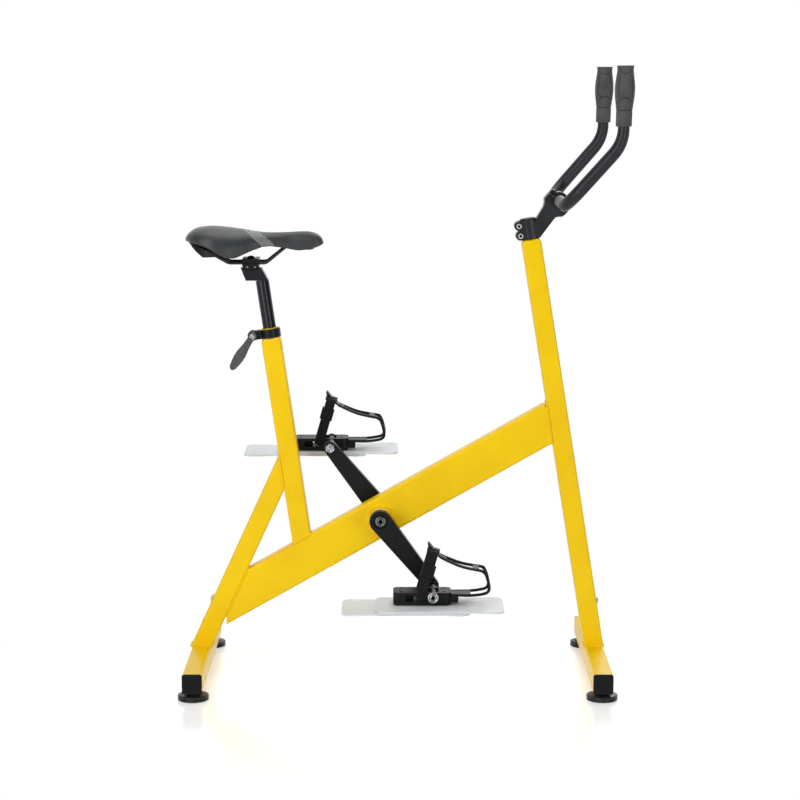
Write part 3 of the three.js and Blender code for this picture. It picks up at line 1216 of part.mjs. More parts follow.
function buildSeat() {
  piece('seat_collar', seatCollar(), BLACK_METAL, seatFrame);
  piece('collar_skewer', collarSkewer(), STEEL, seatFrame);
  piece('clamp_lever', clampLever(), BLACK_PLASTIC, seatFrame);
  piece('seatpost', seatPost(), BLACK_METAL, seatFrame);
  piece('rail_cradle', railCradle(), BLACK_METAL, clampFrame);
  piece('rail_cap', railCap(), BLACK_METAL, clampFrame);
  piece('rail_clamp_bolt', clampBolt(), BLACK_METAL, clampFrame);
  piece('saddle_cover', saddleCover(), SADDLE_COVER, clampFrame);
  piece('saddle_base', saddleBase(), BLACK_PLASTIC, clampFrame);
  piece('right_saddle_rail', rail(-1, 0), BLACK_METAL, clampFrame);
  piece('left_saddle_rail', rail(1, 0), BLACK_METAL, clampFrame);
}

// Stem and handlebar
const uprightTopX = WHEELBASE / 2 + UPRIGHT_LENGTH * Math.sin(UPRIGHT_LEAN);
const uprightTopZ = BASE_TOP + UPRIGHT_LENGTH * Math.cos(UPRIGHT_LEAN);
const stemFrame = frameAt(uprightTopX, 0, uprightTopZ, UPRIGHT_LEAN);
const ARM_ANGLE = Math.atan2(BAR_FORWARD - STEM_ROOT_FORWARD, BAR_UP - STEM_ROOT_UP);
const barFrame = frameAt(uprightTopX + BAR_FORWARD, 0, uprightTopZ + BAR_UP, ARM_ANGLE);
const barLevelFrame = frameAt(uprightTopX + BAR_FORWARD, 0, uprightTopZ + BAR_UP, 0);
const STEM_RADIUS = STEERER_RADIUS + GAP + STEM_WALL;
const BAR_CLAMP_RADIUS = BAR_RADIUS + GAP + BAR_CLAMP_WALL;
const FACEPLATE_SEAT = FACEPLATE_LUG - STEM_BOLT_HEAD; // of the bolt heads, ahead of the bar's middle

// The arm and head are drawn along their own axis, which ends at the bar
function stemArm() {
  const fromShares = ([across, along]) => [(across * STEM_HEAD_HEIGHT) / 2, along * STEM_ARM_LENGTH];
  const side = polygon([...STEM_UPPER_SHARES, ...STEM_LOWER_SHARES].map(fromShares));
  const [footShare, waistShare, headShare] = STEM_WAIST_SHARES;
  const edge = [
    [STEM_ARM_FOOT_WIDTH / 2, -STEM_ARM_LENGTH], [STEM_ARM_FOOT_WIDTH / 2, -footShare * STEM_ARM_LENGTH],
    [STEM_ARM_WAIST_WIDTH / 2, -waistShare * STEM_ARM_LENGTH],
    [BAR_CLAMP_WIDTH / 2, -headShare * STEM_ARM_LENGTH], [BAR_CLAMP_WIDTH / 2, 0],
  ];
  const otherEdge = edge.map(([across, along]) => [-across, along]).reverse();
  const above = extrudedAcross(polygon([...edge, ...otherEdge]), -STEM_HEAD_HEIGHT, STEM_HEAD_HEIGHT);
  return common(extrudedAcross(side, -BAR_CLAMP_WIDTH, BAR_CLAMP_WIDTH), above.rotateZ(QUARTER_TURN));
}

// A rounded bar through the clamp, of which the faceplate keeps the half ahead of the bar's middle
function faceplateLugs() {
  const shape = roundedRectangle(STEM_HEAD_HEIGHT, 2 * FACEPLATE_LUG, FACEPLATE_CORNER);
  return extrudedAcross(shape, -FACEPLATE_LUG_WIDTH / 2, FACEPLATE_LUG_WIDTH / 2);
}

function faceplateHoles(radius, fromZ, toZ) {
  return [-1, 1].map((side) => {
    const hole = rod(radius + GAP, fromZ, toZ, SIDES_SMALL);
    return hole.translate((side * FACEPLATE_BOLT_SPACING) / 2, 0, 0);
  });
}

function barClamp() {
  return crossRod(BAR_CLAMP_RADIUS, -BAR_CLAMP_WIDTH / 2, BAR_CLAMP_WIDTH / 2, SIDES_LARGE);
}

function barBore() {
  return crossRod(BAR_RADIUS + GAP, -BAR_CLAMP_WIDTH, BAR_CLAMP_WIDTH, SIDES_LARGE);
}

function stem() {
  const middle = STEM_HEIGHT / 2;
  const sleeve = rod(STEM_RADIUS, GAP, STEM_HEIGHT, SIDES_LARGE);
  const ears = [-1, 1].map((side) => {
    const height = middle + (side * STEM_BOLT_SPACING) / 2;
    const ear = crossRod(STEM_EAR_RADIUS, -STEM_EAR_WIDTH / 2, STEM_EAR_WIDTH / 2);
    return ear.translate(-STEM_EAR_REACH, 0, height);
  });
  const web = block(-STEM_EAR_REACH, 0, -STEM_EAR_WIDTH / 2, STEM_EAR_WIDTH / 2,
    middle - STEM_BOLT_SPACING / 2 - STEM_EAR_RADIUS + GAP, STEM_HEIGHT);
  const arm = fromFrame(stemArm(), barFrame, stemFrame);
  const armFoot = cut(arm, everythingBelow(GAP));
  const clamp = fromFrame(barClamp(), barFrame, stemFrame);
  const ahead = block(-REACH, REACH, -REACH, REACH, -FACEPLATE_SPLIT / 2, REACH);
  const split = fromFrame(ahead, barFrame, stemFrame);
  const steererBore = rod(STEERER_RADIUS + GAP, -OVERRUN, STEM_HEIGHT + OVERRUN, SIDES_LARGE);
  const capTop = STEM_HEIGHT + STEERER_CAP;
  const capSpace = rod(STEERER_CAP_RADIUS + GAP, STEM_HEIGHT, capTop + OVERRUN, SIDES_LARGE);
  const slit = block(-STEM_EAR_REACH - 2 * STEM_EAR_RADIUS, 0, -SLOT_WIDTH / 2, SLOT_WIDTH / 2, -OVERRUN,
    STEM_HEIGHT + OVERRUN);
  const pinchHoles = [-1, 1].map((side) => {
    const hole = crossRod(STEM_BOLT_RADIUS + GAP, -STEM_EAR_WIDTH, STEM_EAR_WIDTH, SIDES_SMALL);
    return hole.translate(-STEM_EAR_REACH, 0, middle + (side * STEM_BOLT_SPACING) / 2);
  });
  const plateHoles = faceplateHoles(STEM_BOLT_RADIUS, FACEPLATE_SEAT - FACEPLATE_BOLT_LENGTH, OVERRUN)
    .map((hole) => fromFrame(hole, barFrame, stemFrame));
  const bore = fromFrame(barBore(), barFrame, stemFrame);
  return cut(join(sleeve, ...ears, web, armFoot, clamp), split, bore, steererBore, capSpace, slit,
    ...pinchHoles, ...plateHoles);
}

function faceplate() {
  const plate = join(barClamp(), faceplateLugs());
  const holes = faceplateHoles(STEM_BOLT_RADIUS, -OVERRUN, FACEPLATE_LUG);
  const headSpaces = faceplateHoles(STEM_BOLT_HEAD_RADIUS, FACEPLATE_SEAT, BAR_CLAMP_RADIUS + OVERRUN);
  return cut(plate, everythingBelow(FACEPLATE_SPLIT / 2), barBore(), ...holes, ...headSpaces);
}

function capScrew(headRadius, head, radius, length) {
  const screw = turned([
    [0, -length], [radius, -length], [radius, 0], [headRadius, 0], [headRadius, head], [0, head],
  ], SIDES_SMALL);
  const socket = rod(radius, head - HEX_DEPTH, head + OVERRUN, HEX_SIDES);
  return cut(screw, socket);
}

function pinchBolt(side) {
  const screw = capScrew(STEM_BOLT_HEAD_RADIUS, STEM_BOLT_HEAD, STEM_BOLT_RADIUS, STEM_EAR_WIDTH);
  screw.rotateX(QUARTER_TURN).translate(-STEM_EAR_REACH, -STEM_EAR_WIDTH / 2 - GAP, STEM_HEIGHT / 2);
  return screw.translate(0, 0, (side * STEM_BOLT_SPACING) / 2);
}

function faceplateBolt(side) {
  const screw = capScrew(STEM_BOLT_HEAD_RADIUS, STEM_BOLT_HEAD, STEM_BOLT_RADIUS, FACEPLATE_BOLT_LENGTH);
  return screw.translate((side * FACEPLATE_BOLT_SPACING) / 2, 0, FACEPLATE_SEAT + GAP);
}

function steererCap() {
  const seat = STEM_HEIGHT + GAP;
  const plug = STEERER_RADIUS - STEERER_WALL - GAP;
  return turned([
    [0, seat - STEERER_CAP_PLUG], [plug, seat - STEERER_CAP_PLUG], [plug, seat], [STEERER_CAP_RADIUS, seat],
    [STEERER_CAP_RADIUS, seat + STEERER_CAP / 2], [STEERER_RADIUS, seat + STEERER_CAP],
    [0, seat + STEERER_CAP],
  ], SIDES_LARGE);
}

const GRIP_FOOT = BAR_HEIGHT - GRIP_LENGTH;

function handlebar() {
  const corner = (side, x, y, z) => new THREE.Vector3(x, side * y, z);
  const neck = GRIP_FOOT - GAP;
  const corners = [
    corner(-1, BAR_SHOULDER_REACH, BAR_HALF_WIDTH, neck),
    corner(-1, BAR_SHOULDER_REACH, BAR_HALF_WIDTH, BAR_SHOULDER_RISE),
    corner(-1, 0, BAR_ELBOW, 0),
    corner(1, 0, BAR_ELBOW, 0),
    corner(1, BAR_SHOULDER_REACH, BAR_HALF_WIDTH, BAR_SHOULDER_RISE),
    corner(1, BAR_SHOULDER_REACH, BAR_HALF_WIDTH, neck),
  ];
  const radii = [BAR_SHOULDER_RADIUS, BAR_ELBOW_RADIUS, BAR_ELBOW_RADIUS, BAR_SHOULDER_RADIUS];
  const stations = bentLine(corners, radii);
  const bore = roundBar(stations, BAR_RADIUS - BAR_WALL, BAR_BORE_SIDES, OVERRUN);
  const bar = cut(roundBar(stations, BAR_RADIUS, BAR_SIDES), bore);
  const ends = [-1, 1].map((side) => {
    const end = washer(BAR_GRIP_RADIUS, BAR_GRIP_RADIUS - BAR_WALL, neck - GRIP_END_WALL,
      BAR_HEIGHT - GRIP_END_WALL - GAP, SIDES_SMALL);
    return end.translate(BAR_SHOULDER_REACH, side * BAR_HALF_WIDTH, 0);
  });
  return join(bar, ...ends);
}

function grip(side) {
  const bore = BAR_GRIP_RADIUS + GAP;
  const outside = GRIP_FORM_SHARES.map(([width, rise]) => (
    [GRIP_RADIUS * width, GRIP_FOOT + GRIP_LENGTH * rise]
  ));
  const inside = [
    [0, BAR_HEIGHT], [0, BAR_HEIGHT - GRIP_END_WALL], [bore, BAR_HEIGHT - GRIP_END_WALL], [bore, GRIP_FOOT],
  ];
  const form = turned([inside.at(-1), ...outside, ...inside]);
  return form.translate(BAR_SHOULDER_REACH, side * BAR_HALF_WIDTH, 0);
}

function buildFront() {
  piece('stem', stem(), BLACK_METAL, stemFrame);
  piece('steerer_cap', steererCap(), BLACK_METAL, stemFrame);
  piece('stem_faceplate', faceplate(), BLACK_METAL, barFrame);
  piece('upper_faceplate_bolt', faceplateBolt(-1), STEEL, barFrame);
  piece('lower_faceplate_bolt', faceplateBolt(1), STEEL, barFrame);
  piece('lower_pinch_bolt', pinchBolt(-1), STEEL, stemFrame);
  piece('upper_pinch_bolt', pinchBolt(1), STEEL, stemFrame);
  piece('handlebar', handlebar(), BLACK_METAL, barLevelFrame);
  piece('right_grip', grip(-1), RUBBER, barLevelFrame);
  piece('left_grip', grip(1), RUBBER, barLevelFrame);
}

buildFrame();
buildCrankset();
buildPedals();
buildSeat();
buildFront();

// The origin lies on the floor under the middle of the whole bike
const whole = new THREE.Group();
whole.add(bike);
const box = new THREE.Box3().setFromObject(bike);
bike.position.x = -(box.min.x + box.max.x) / 2;
whole.updateMatrixWorld(true);

export default whole;
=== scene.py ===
# %% [markdown]
# # A bike that stands on the floor of a pool
#
# The bike was first drawn as measured solids, one for each piece that a workshop would make.
# Here those solids are loaded as a fixed frame and dressed: edges are softened, welds, stitches
# and webbing are added, and each surface gets the finish of the real material.
# Everything is in metres. X points to the front, Z points up, and the rider's right side is at negative Y.

import json
import math

import bmesh
import bpy
from mathutils import Matrix, Vector
from mathutils.bvhtree import BVHTree


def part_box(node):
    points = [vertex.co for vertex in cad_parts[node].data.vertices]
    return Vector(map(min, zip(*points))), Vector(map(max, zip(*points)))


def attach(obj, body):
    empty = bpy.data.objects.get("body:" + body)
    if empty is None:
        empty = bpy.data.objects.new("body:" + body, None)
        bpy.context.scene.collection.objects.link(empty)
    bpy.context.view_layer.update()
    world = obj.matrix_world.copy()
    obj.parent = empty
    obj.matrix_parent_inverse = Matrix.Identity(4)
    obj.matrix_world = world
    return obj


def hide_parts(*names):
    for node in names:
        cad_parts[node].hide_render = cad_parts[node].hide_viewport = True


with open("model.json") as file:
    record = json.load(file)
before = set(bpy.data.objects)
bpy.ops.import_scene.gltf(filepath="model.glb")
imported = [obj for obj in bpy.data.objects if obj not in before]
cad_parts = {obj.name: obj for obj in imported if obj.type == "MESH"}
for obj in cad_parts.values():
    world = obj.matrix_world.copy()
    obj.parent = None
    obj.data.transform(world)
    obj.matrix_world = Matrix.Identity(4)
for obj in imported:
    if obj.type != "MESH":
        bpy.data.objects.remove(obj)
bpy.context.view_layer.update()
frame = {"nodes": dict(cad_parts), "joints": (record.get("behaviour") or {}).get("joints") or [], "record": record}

# %% [markdown]
# ## Camera
#
# The photograph was taken from far away with a long lens, from about the height of the grips:
# the near and far pedals look almost the same size, and the feet show a little of their tops.
# A lens of about 102 mm on a 36 mm sensor, 4.6 m away and tipped down 8 degrees, gives the same view.

# %% Camera
MM = 0.001
SENSOR = 36
FOCAL_PIXELS = 2266
PICTURE_PIXELS = 800
CAMERA_PLACE = (-0.0034, -4.6, 1.22)
CAMERA_TIP = 8.034


def in_scene(name, data):
    """Put a camera, a lamp or a mesh into the scene as an object."""
    thing = bpy.data.objects.new(name, data)
    bpy.context.scene.collection.objects.link(thing)
    return thing


camera_data = bpy.data.cameras.new("camera")
camera_data.sensor_width = SENSOR
camera_data.lens = SENSOR * FOCAL_PIXELS / PICTURE_PIXELS
camera = in_scene("camera", camera_data)
camera.location = CAMERA_PLACE
camera.rotation_euler = (math.radians(90 - CAMERA_TIP), 0, 0)
bpy.context.scene.camera = camera
print("lens:", round(camera_data.lens, 1), "mm")

# %% [markdown]
# ## Node helpers
#
# Shaders and Geometry Nodes are both trees of nodes, so one small function serves both.
# It adds a node, applies its settings, and fills its inputs with values or with links from other nodes.
# Three more add the nodes that are used most: a sum, a change of range, and a blend of two colours.
# Colours are written as on screen, in sRGB, and turned to the linear numbers that the renderer works in.

# %% Node helpers
def linear(text):
    """Turn a colour such as #f5cc00 into linear red, green, blue and alpha."""
    parts = [int(text[first:first + 2], 16) / 255 for first in (1, 3, 5)]
    return [p / 12.92 if p <= 0.04045 else ((p + 0.055) / 1.055) ** 2.4 for p in parts] + [1.0]


def add(tree, kind, inputs=None, **settings):
    """Add a node. Inputs are named or numbered, and take a value or another node's output."""
    node = tree.nodes.new(kind)
    for name, value in settings.items():
        setattr(node, name, value)
    for key, value in (inputs or {}).items():
        if isinstance(value, bpy.types.NodeSocket):
            tree.links.new(value, node.inputs[key])
        else:
            node.inputs[key].default_value = value
    return node


def maths(tree, operation, *values):
    """Add a sum such as MULTIPLY or SINE, and return its result."""
    return add(tree, "ShaderNodeMath", dict(enumerate(values)), operation=operation).outputs[0]


def ranged(tree, value, low, high, to_low=0.0, to_high=1.0, shape="LINEAR"):
    """Turn the range low to high into another one. SMOOTHSTEP gives it soft ends."""
    limits = {"Value": value, "From Min": low, "From Max": high, "To Min": to_low, "To Max": to_high}
    return add(tree, "ShaderNodeMapRange", limits, interpolation_type=shape).outputs[0]


def blend(tree, share, first, second):
    """Blend two colours: all first at share 0, all second at share 1."""
    colours = {"Factor": share, "A": first, "B": second}
    return add(tree, "ShaderNodeMix", colours, data_type="RGBA").outputs["Result"]


def own_place(tree):
    """Where a point lies on its own piece, in metres. It stays the same when the piece moves."""
    return add(tree, "ShaderNodeTexCoord").outputs["Object"]


def emptied(owner):
    """Switch on the nodes of a material or a world, and return its tree without any."""
    owner.use_nodes = True
    owner.node_tree.nodes.clear()
    return owner.node_tree


print("yellow in linear numbers:", [round(value, 3) for value in linear("#f5cc00")])

# %% [markdown]
# ## Floor and background
#
# The real bike stands in a white studio cove. A plain plane is enough for the floor.
# Near the bike the plane is matt and takes light as any surface does, so it keeps the shadows. What is
# missing to white is added only where the camera, a mirror or a clear piece looks at it, so that it lights
# nothing. Further away it fades to plain white, as a cove does.
# A little gloss lets the feet mirror faintly, as they do on a lacquered studio floor.
# The cove is white behind the bike, and the room behind the camera is dim. Shiny black pieces mirror that
# room, which keeps them black, and only their rims catch the white cove.

# %% Floor and background
FLOOR_HALF = 40.0
FLOOR_TOP_UP = 0.56
FLOOR_MIRROR = 0.3
FLOOR_ROUGHNESS = 0.17
FADE_START, FADE_END = 0.45, 0.9
WHITE = (1, 1, 1, 1)


def white_for_eyes(tree):
    """1 for a ray from the camera, a mirror or a clear piece, and 0 for a ray that only carries light."""
    path = add(tree, "ShaderNodeLightPath").outputs
    seen = maths(tree, "MAXIMUM", path["Is Camera Ray"], path["Is Glossy Ray"])
    return maths(tree, "MAXIMUM", seen, path["Is Transmission Ray"])


def floor_finish():
    """White lacquer that fades to plain white away from the bike."""
    material = bpy.data.materials.new("White lacquered floor")
    tree = emptied(material)
    eyes = white_for_eyes(tree)
    matt = add(tree, "ShaderNodeBsdfDiffuse", {"Color": linear("#eeeeee")})
    glow = add(tree, "ShaderNodeEmission", {"Strength": maths(tree, "MULTIPLY", eyes, FLOOR_TOP_UP)})
    near = add(tree, "ShaderNodeAddShader", {0: matt.outputs[0], 1: glow.outputs[0]})
    mirror = add(tree, "ShaderNodeBsdfGlossy", {"Color": WHITE, "Roughness": FLOOR_ROUGHNESS})
    lacquer = add(tree, "ShaderNodeMixShader", {0: FLOOR_MIRROR, 1: near.outputs[0], 2: mirror.outputs[0]})
    away = add(tree, "ShaderNodeVectorMath", {0: own_place(tree)}, operation="LENGTH").outputs["Value"]
    fade = ranged(tree, away, FADE_START, FADE_END, shape="SMOOTHSTEP")
    share = maths(tree, "MULTIPLY", fade, eyes)
    white = add(tree, "ShaderNodeEmission", {"Strength": 1.0})
    whole = add(tree, "ShaderNodeMixShader", {0: share, 1: lacquer.outputs[0], 2: white.outputs[0]})
    add(tree, "ShaderNodeOutputMaterial", {"Surface": whole.outputs[0]})
    return material


floor_mesh = bpy.data.meshes.new("studio_floor")
corners = [(-FLOOR_HALF, -FLOOR_HALF, 0), (FLOOR_HALF, -FLOOR_HALF, 0),
           (FLOOR_HALF, FLOOR_HALF, 0), (-FLOOR_HALF, FLOOR_HALF, 0)]
floor_mesh.from_pydata(corners, [], [(0, 1, 2, 3)])
floor_mesh.materials.append(floor_finish())
floor = in_scene("studio_floor", floor_mesh)
print("floor:", 2 * FLOOR_HALF, "m across")

# %% The room around the bike
WORLD_LIGHT = 0.18
ROOM_LIGHT = 0.2
COVE_STARTS, COVE_FULL = -0.1, 0.35

world = bpy.data.worlds.new("studio")
room = emptied(world)
looking = add(room, "ShaderNodeTexCoord").outputs["Generated"]
backwards = add(room, "ShaderNodeSeparateXYZ", {0: looking}).outputs["Y"]
cove = ranged(room, backwards, COVE_STARTS, COVE_FULL, ROOM_LIGHT, 1.0, shape="SMOOTHSTEP")
path = add(room, "ShaderNodeLightPath").outputs
mirrored = maths(room, "MULTIPLY", cove, path["Is Glossy Ray"])
direct = maths(room, "MAXIMUM", path["Is Camera Ray"], path["Is Transmission Ray"])
seen = maths(room, "MAXIMUM", direct, mirrored)
strength = maths(room, "MAXIMUM", seen, WORLD_LIGHT)
sky = add(room, "ShaderNodeBackground", {"Color": WHITE, "Strength": strength})
add(room, "ShaderNodeOutputWorld", {"Surface": sky.outputs[0]})
bpy.context.scene.world = world
bpy.context.scene.view_settings.view_transform = "Standard"
print("room:", ROOM_LIGHT, "of the cove's white")

# %% [markdown]
# ## Lamps
#
# A catalogue picture of shiny black tubes needs tall lights: each one shows in a tube as a bright line,
# and the line is what tells the eye that the tube is round and polished. Two upright strips stand left and
# right. They are 1.5 m and 0.8 m wide, because a 27 mm post mirrors the whole room squeezed to its width,
# and a narrow strip would be a hairline in it.
# A square softbox above the camera rounds off the saddle and the bar from light to dark, and one overhead and
# one at the rear fill in the tops and the far side. Their powers make the paint come out close to its
# written colour.

# %% Lamps
BIKE_MIDDLE = Vector((0, 0, 0.6))
SOFTBOXES = {
    "main": ((-1.3, -3.4, 3.3), 1.3, 1.3, 46),
    "left_strip": ((-2.3, -3.4, 1.15), 1.5, 2.2, 48),
    "right_strip": ((2.4, -3.3, 1.15), 0.8, 2.2, 28),
    "overhead": ((0.2, 0.2, 3.4), 2.6, 2.6, 44),
    "rear": ((1.6, 4.4, 3.2), 2.4, 2.0, 60),
}

for name, (place, width, height, watts) in SOFTBOXES.items():
    lamp_data = bpy.data.lights.new("softbox_" + name, "AREA")
    lamp_data.shape = "RECTANGLE"
    lamp_data.size = width
    lamp_data.size_y = height
    lamp_data.energy = watts
    lamp = in_scene("softbox_" + name, lamp_data)
    lamp.location = place
    lamp.rotation_euler = (BIKE_MIDDLE - Vector(place)).to_track_quat("-Z", "Y").to_euler()
print("lamps:", ", ".join(SOFTBOXES))

# %% [markdown]
# ## Powder-coated steel
#
# The frame is welded steel tube with baked yellow powder on it. Powder melts into a thick even skin,
# so the eye gets one strong colour, a broad soft highlight and a faint dimpling called orange peel.
# The dimples are 2 to 3 mm wide, under two pixels here, so they are drawn 8 mm wide and very shallow.
# The helpers of this cell serve every material: a new one with its shader, links to that shader, and two
# kinds of randomness, small dimples and a slow change called mottle. The last one puts them all together.

# %% Powder-coated steel
def new_material(name, **surface):
    """Make a material with one Principled shader, and return both with the tree."""
    material = bpy.data.materials.new(name)
    tree = emptied(material)
    shader = add(tree, "ShaderNodeBsdfPrincipled")
    for key, value in surface.items():
        shader.inputs[key.replace("_", " ")].default_value = value
    add(tree, "ShaderNodeOutputMaterial", {"Surface": shader.outputs[0]})
    print("made:", name)
    return material, tree, shader


def wire(tree, shader, **outputs):
    """Link outputs of other nodes to the shader's inputs, by name."""
    for key, output in outputs.items():
        tree.links.new(output, shader.inputs[key.replace("_", " ")])


def bump(tree, height, depth, strength):
    """Tilt the shading as if the skin rose by a height from 0 to 1 times a depth in metres."""
    return add(tree, "ShaderNodeBump", {"Height": height, "Distance": depth, "Strength": strength}).outputs[0]


def dimples(tree, size, depth, strength):
    """A bump of soft random dimples, from their width and depth in metres."""
    look = {"Vector": own_place(tree), "Scale": 1 / size, "Detail": 2.0, "Roughness": 0.5}
    return bump(tree, add(tree, "ShaderNodeTexNoise", look).outputs["Fac"], depth, strength)


def mottle(tree, size, low, high):
    """A slow random change between two numbers or two colours over the surface."""
    look = {"Vector": own_place(tree), "Scale": 1 / size, "Detail": 3.0}
    noise = add(tree, "ShaderNodeTexNoise", look).outputs["Fac"]
    if isinstance(low, float):
        return ranged(tree, noise, 0.3, 0.7, low, high)
    ramp = add(tree, "ShaderNodeValToRGB", {"Fac": noise})
    for stop, position, colour in zip(ramp.color_ramp.elements, (0.35, 0.65), (low, high)):
        stop.position = position
        stop.color = colour
    return ramp.outputs["Color"]


def mottled(name, tint=None, rough=None, grain=None, **surface):
    """A material. Tint and rough are a size and two ends to mottle between, grain is what dimples takes."""
    material, tree, shader = new_material(name, **surface)
    if tint:
        wire(tree, shader, Base_Color=mottle(tree, tint[0], linear(tint[1]), linear(tint[2])))
    if rough:
        wire(tree, shader, Roughness=mottle(tree, *rough))
    if grain:
        wire(tree, shader, Normal=dimples(tree, *grain))
    return material


YELLOW = mottled("Powder coat, yellow, baked", tint=(0.09, "#f5c800", "#fad100"), rough=(0.03, 0.3, 0.38),
                 grain=(0.008, 0.0002, 0.35), IOR=1.5, Specular_IOR_Level=0.18, Coat_Weight=0.08,
                 Coat_Roughness=0.12)

# %% [markdown]
# ## Black anodised aluminium
#
# Post, stem, cranks, collar, bar and rails are aluminium with a dyed oxide layer. The layer is thin and hard,
# so the metal still shines through it: highlights are bright and narrow on the polished post, wide on the
# blasted stem and cranks, and widest on the satin bar. The grit of a blasted surface is about 0.1 mm, drawn
# 2 mm wide here so that it shows at all.

# %% Black anodised aluminium
def anodised(name, colour, metal, roughness, grit_depth):
    return mottled(name, rough=(0.012, 0.93 * roughness, 1.07 * roughness),
                   grain=(0.002, grit_depth, 0.4) if grit_depth else None,
                   Base_Color=linear(colour), Metallic=metal, Specular_IOR_Level=0.25)


POST_BLACK = anodised("Anodised aluminium, black, polished", "#2d2e31", 0.9, 0.2, 0.0)
BAR_BLACK = anodised("Anodised aluminium, black, satin", "#343538", 0.85, 0.42, 0.0)
CRANK_BLACK = anodised("Anodised aluminium, black, bead-blasted", "#141617", 0.35, 0.36, 0.0001)
STEM_BLACK = anodised("Anodised aluminium, black, fine-blasted", "#2c2e30", 0.5, 0.34, 0.00005)

# %% [markdown]
# ## Stainless steel
#
# Bolts and axles that sit in pool water are stainless. A head that was faced on a lathe has fine rings round
# its middle, 0.2 mm apart, drawn 4.4 mm apart here. They bend the reflection into bright and dark circles,
# and the dark circles are also painted into the colour as a painted reflection.
# Sockets are painted dark as shade: an attribute called socket marks the faces deep in a recess, and the colour
# there is painted shade.

# %% Stainless steel
RING_SPACING = 0.0044
JOINT_AT = {joint["name"]: Vector(joint["pos_m"]) for joint in frame["joints"] if joint.get("pos_m")}


def stainless(name, centre, dark="#9b9da0", pale="#b4b6b8", dark_middle=False):
    """Steel with turned rings about a cross-wise axis through centre, or tumbled steel without rings."""
    material, tree, shader = new_material(name, Metallic=1.0)
    socket = add(tree, "ShaderNodeAttribute", attribute_name="socket", attribute_type="GEOMETRY")
    tone = mottle(tree, 0.004, linear(dark), linear(pale))
    if centre is not None:
        middle = add(tree, "ShaderNodeMapping", {"Vector": own_place(tree), "Location": -centre})
        flat = add(tree, "ShaderNodeVectorMath", {0: middle.outputs[0], 1: (1, 0, 1)}, operation="MULTIPLY")
        away = add(tree, "ShaderNodeVectorMath", {0: flat.outputs[0]}, operation="LENGTH").outputs["Value"]
        first = math.pi if dark_middle else 0.0
        wave = maths(tree, "COSINE", maths(tree, "MULTIPLY_ADD", away, math.tau / RING_SPACING, first))
        # Painted reflection: the dark circles of the turned rings are blended into the colour.
        tone = blend(tree, ranged(tree, wave, -0.2, -0.9, 0.0, 0.75), tone, linear("#26282a"))
        wire(tree, shader, Normal=bump(tree, wave, 0.0006, 0.6))
    # Painted shade: faces marked as socket are blended to near black.
    wire(tree, shader, Base_Color=blend(tree, socket.outputs["Fac"], tone, linear("#0b0b0c")),
         Roughness=mottle(tree, 0.003, 0.24, 0.38))
    return material


STEEL = stainless("Stainless steel, tumbled", None, "#c4c6c8", "#d4d6d8")
TURNED = {name: stainless("Stainless steel, turned, about the " + name.replace("_", " "), JOINT_AT[name])
          for name in ("right_pedal_spin", "left_pedal_spin")}
TURNED["crank_spin"] = stainless("Steel, turned, oiled black, about the crank spin", JOINT_AT["crank_spin"],
                                 "#56585b", "#707275")
low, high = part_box("collar_skewer")
TURNED["collar_skewer"] = stainless("Stainless steel, turned, about the skewer",
                                    (Vector(low) + Vector(high)) / 2, dark_middle=True)

# %% [markdown]
# ## Moulded black plastics and rubber
#
# Pedals, toe clips, buckles and the lever are glass-filled nylon from a steel mould that was spark-eroded,
# which prints a fine sand-like grain on the part. The end caps are smoother polyethylene, the feet are
# rubber, and the crank axle's bushes are turned from white acetal. The real grain is 0.1 to 0.3 mm, too fine
# to show, so it is drawn 1.5 to 3 mm wide.

# %% Moulded black plastics and rubber
def moulded(name, colour, pale, roughness, grain, depth):
    return mottled(name, tint=(0.02, colour, pale), rough=(0.006, roughness - 0.06, roughness + 0.06),
                   grain=(grain, depth, 0.5), IOR=1.5, Specular_IOR_Level=0.18)


NYLON = moulded("Glass-filled nylon, black, spark-grained", "#0d0e0e", "#151616", 0.4, 0.0015, 0.00012)
CAP_PLASTIC = moulded("Polyethylene, black, moulded", "#060707", "#0a0b0b", 0.3, 0.003, 0.00005)
LEVER_NYLON = moulded("Glass-filled nylon, charcoal, satin", "#4c4e4d", "#565857", 0.5, 0.0015, 0.0001)
FOOT_RUBBER = moulded("Moulded rubber, black", "#242525", "#2c2d2d", 0.3, 0.003, 0.0001)
BUSH_NYLON = moulded("Acetal, white, turned", "#e6e3d8", "#eeebe0", 0.4, 0.002, 0.00005)

# %% [markdown]
# ## Frosted plastic
#
# The drag fins under the pedals are cut from frosted polycarbonate sheet. Light enters and is scattered
# inside, so they look milky white, and what is behind them shows only as a soft shade.

# %% Frosted plastic
FROSTED = mottled("Polycarbonate sheet, frosted", rough=(0.02, 0.42, 0.5), grain=(0.002, 0.00005, 0.3),
                  Base_Color=linear("#f4f8fb"), IOR=1.58, Transmission_Weight=0.35)

# %% [markdown]
# ## Rigid pieces with softened edges
#
# No real edge is perfectly sharp: paint builds up on it, a mould rounds it, a file breaks it. A narrow
# rounded edge catches a thin highlight, and that is most of what makes a rigid piece look real.
# Each solid is copied, its loose triangles are merged into large faces, and a Bevel rounds the edges.
# A Weighted Normal keeps the flat faces flat. The copy then stands for the solid, on the same moving body.

# %% Rigid pieces with softened edges
BODY_OF = {node: body for body, nodes in frame["record"]["behaviour"]["bodies"].items() for node in nodes}
FLAT_ENOUGH = math.radians(1)
SAME_PLACE = 0.00001


def merged_copy(node):
    """A copy of a solid as one closed mesh of large flat faces."""
    sheet = bmesh.new()
    sheet.from_mesh(frame["nodes"][node].data)
    bmesh.ops.remove_doubles(sheet, verts=sheet.verts, dist=SAME_PLACE)
    bmesh.ops.dissolve_limit(sheet, angle_limit=FLAT_ENOUGH, verts=sheet.verts, edges=sheet.edges)
    return sheet


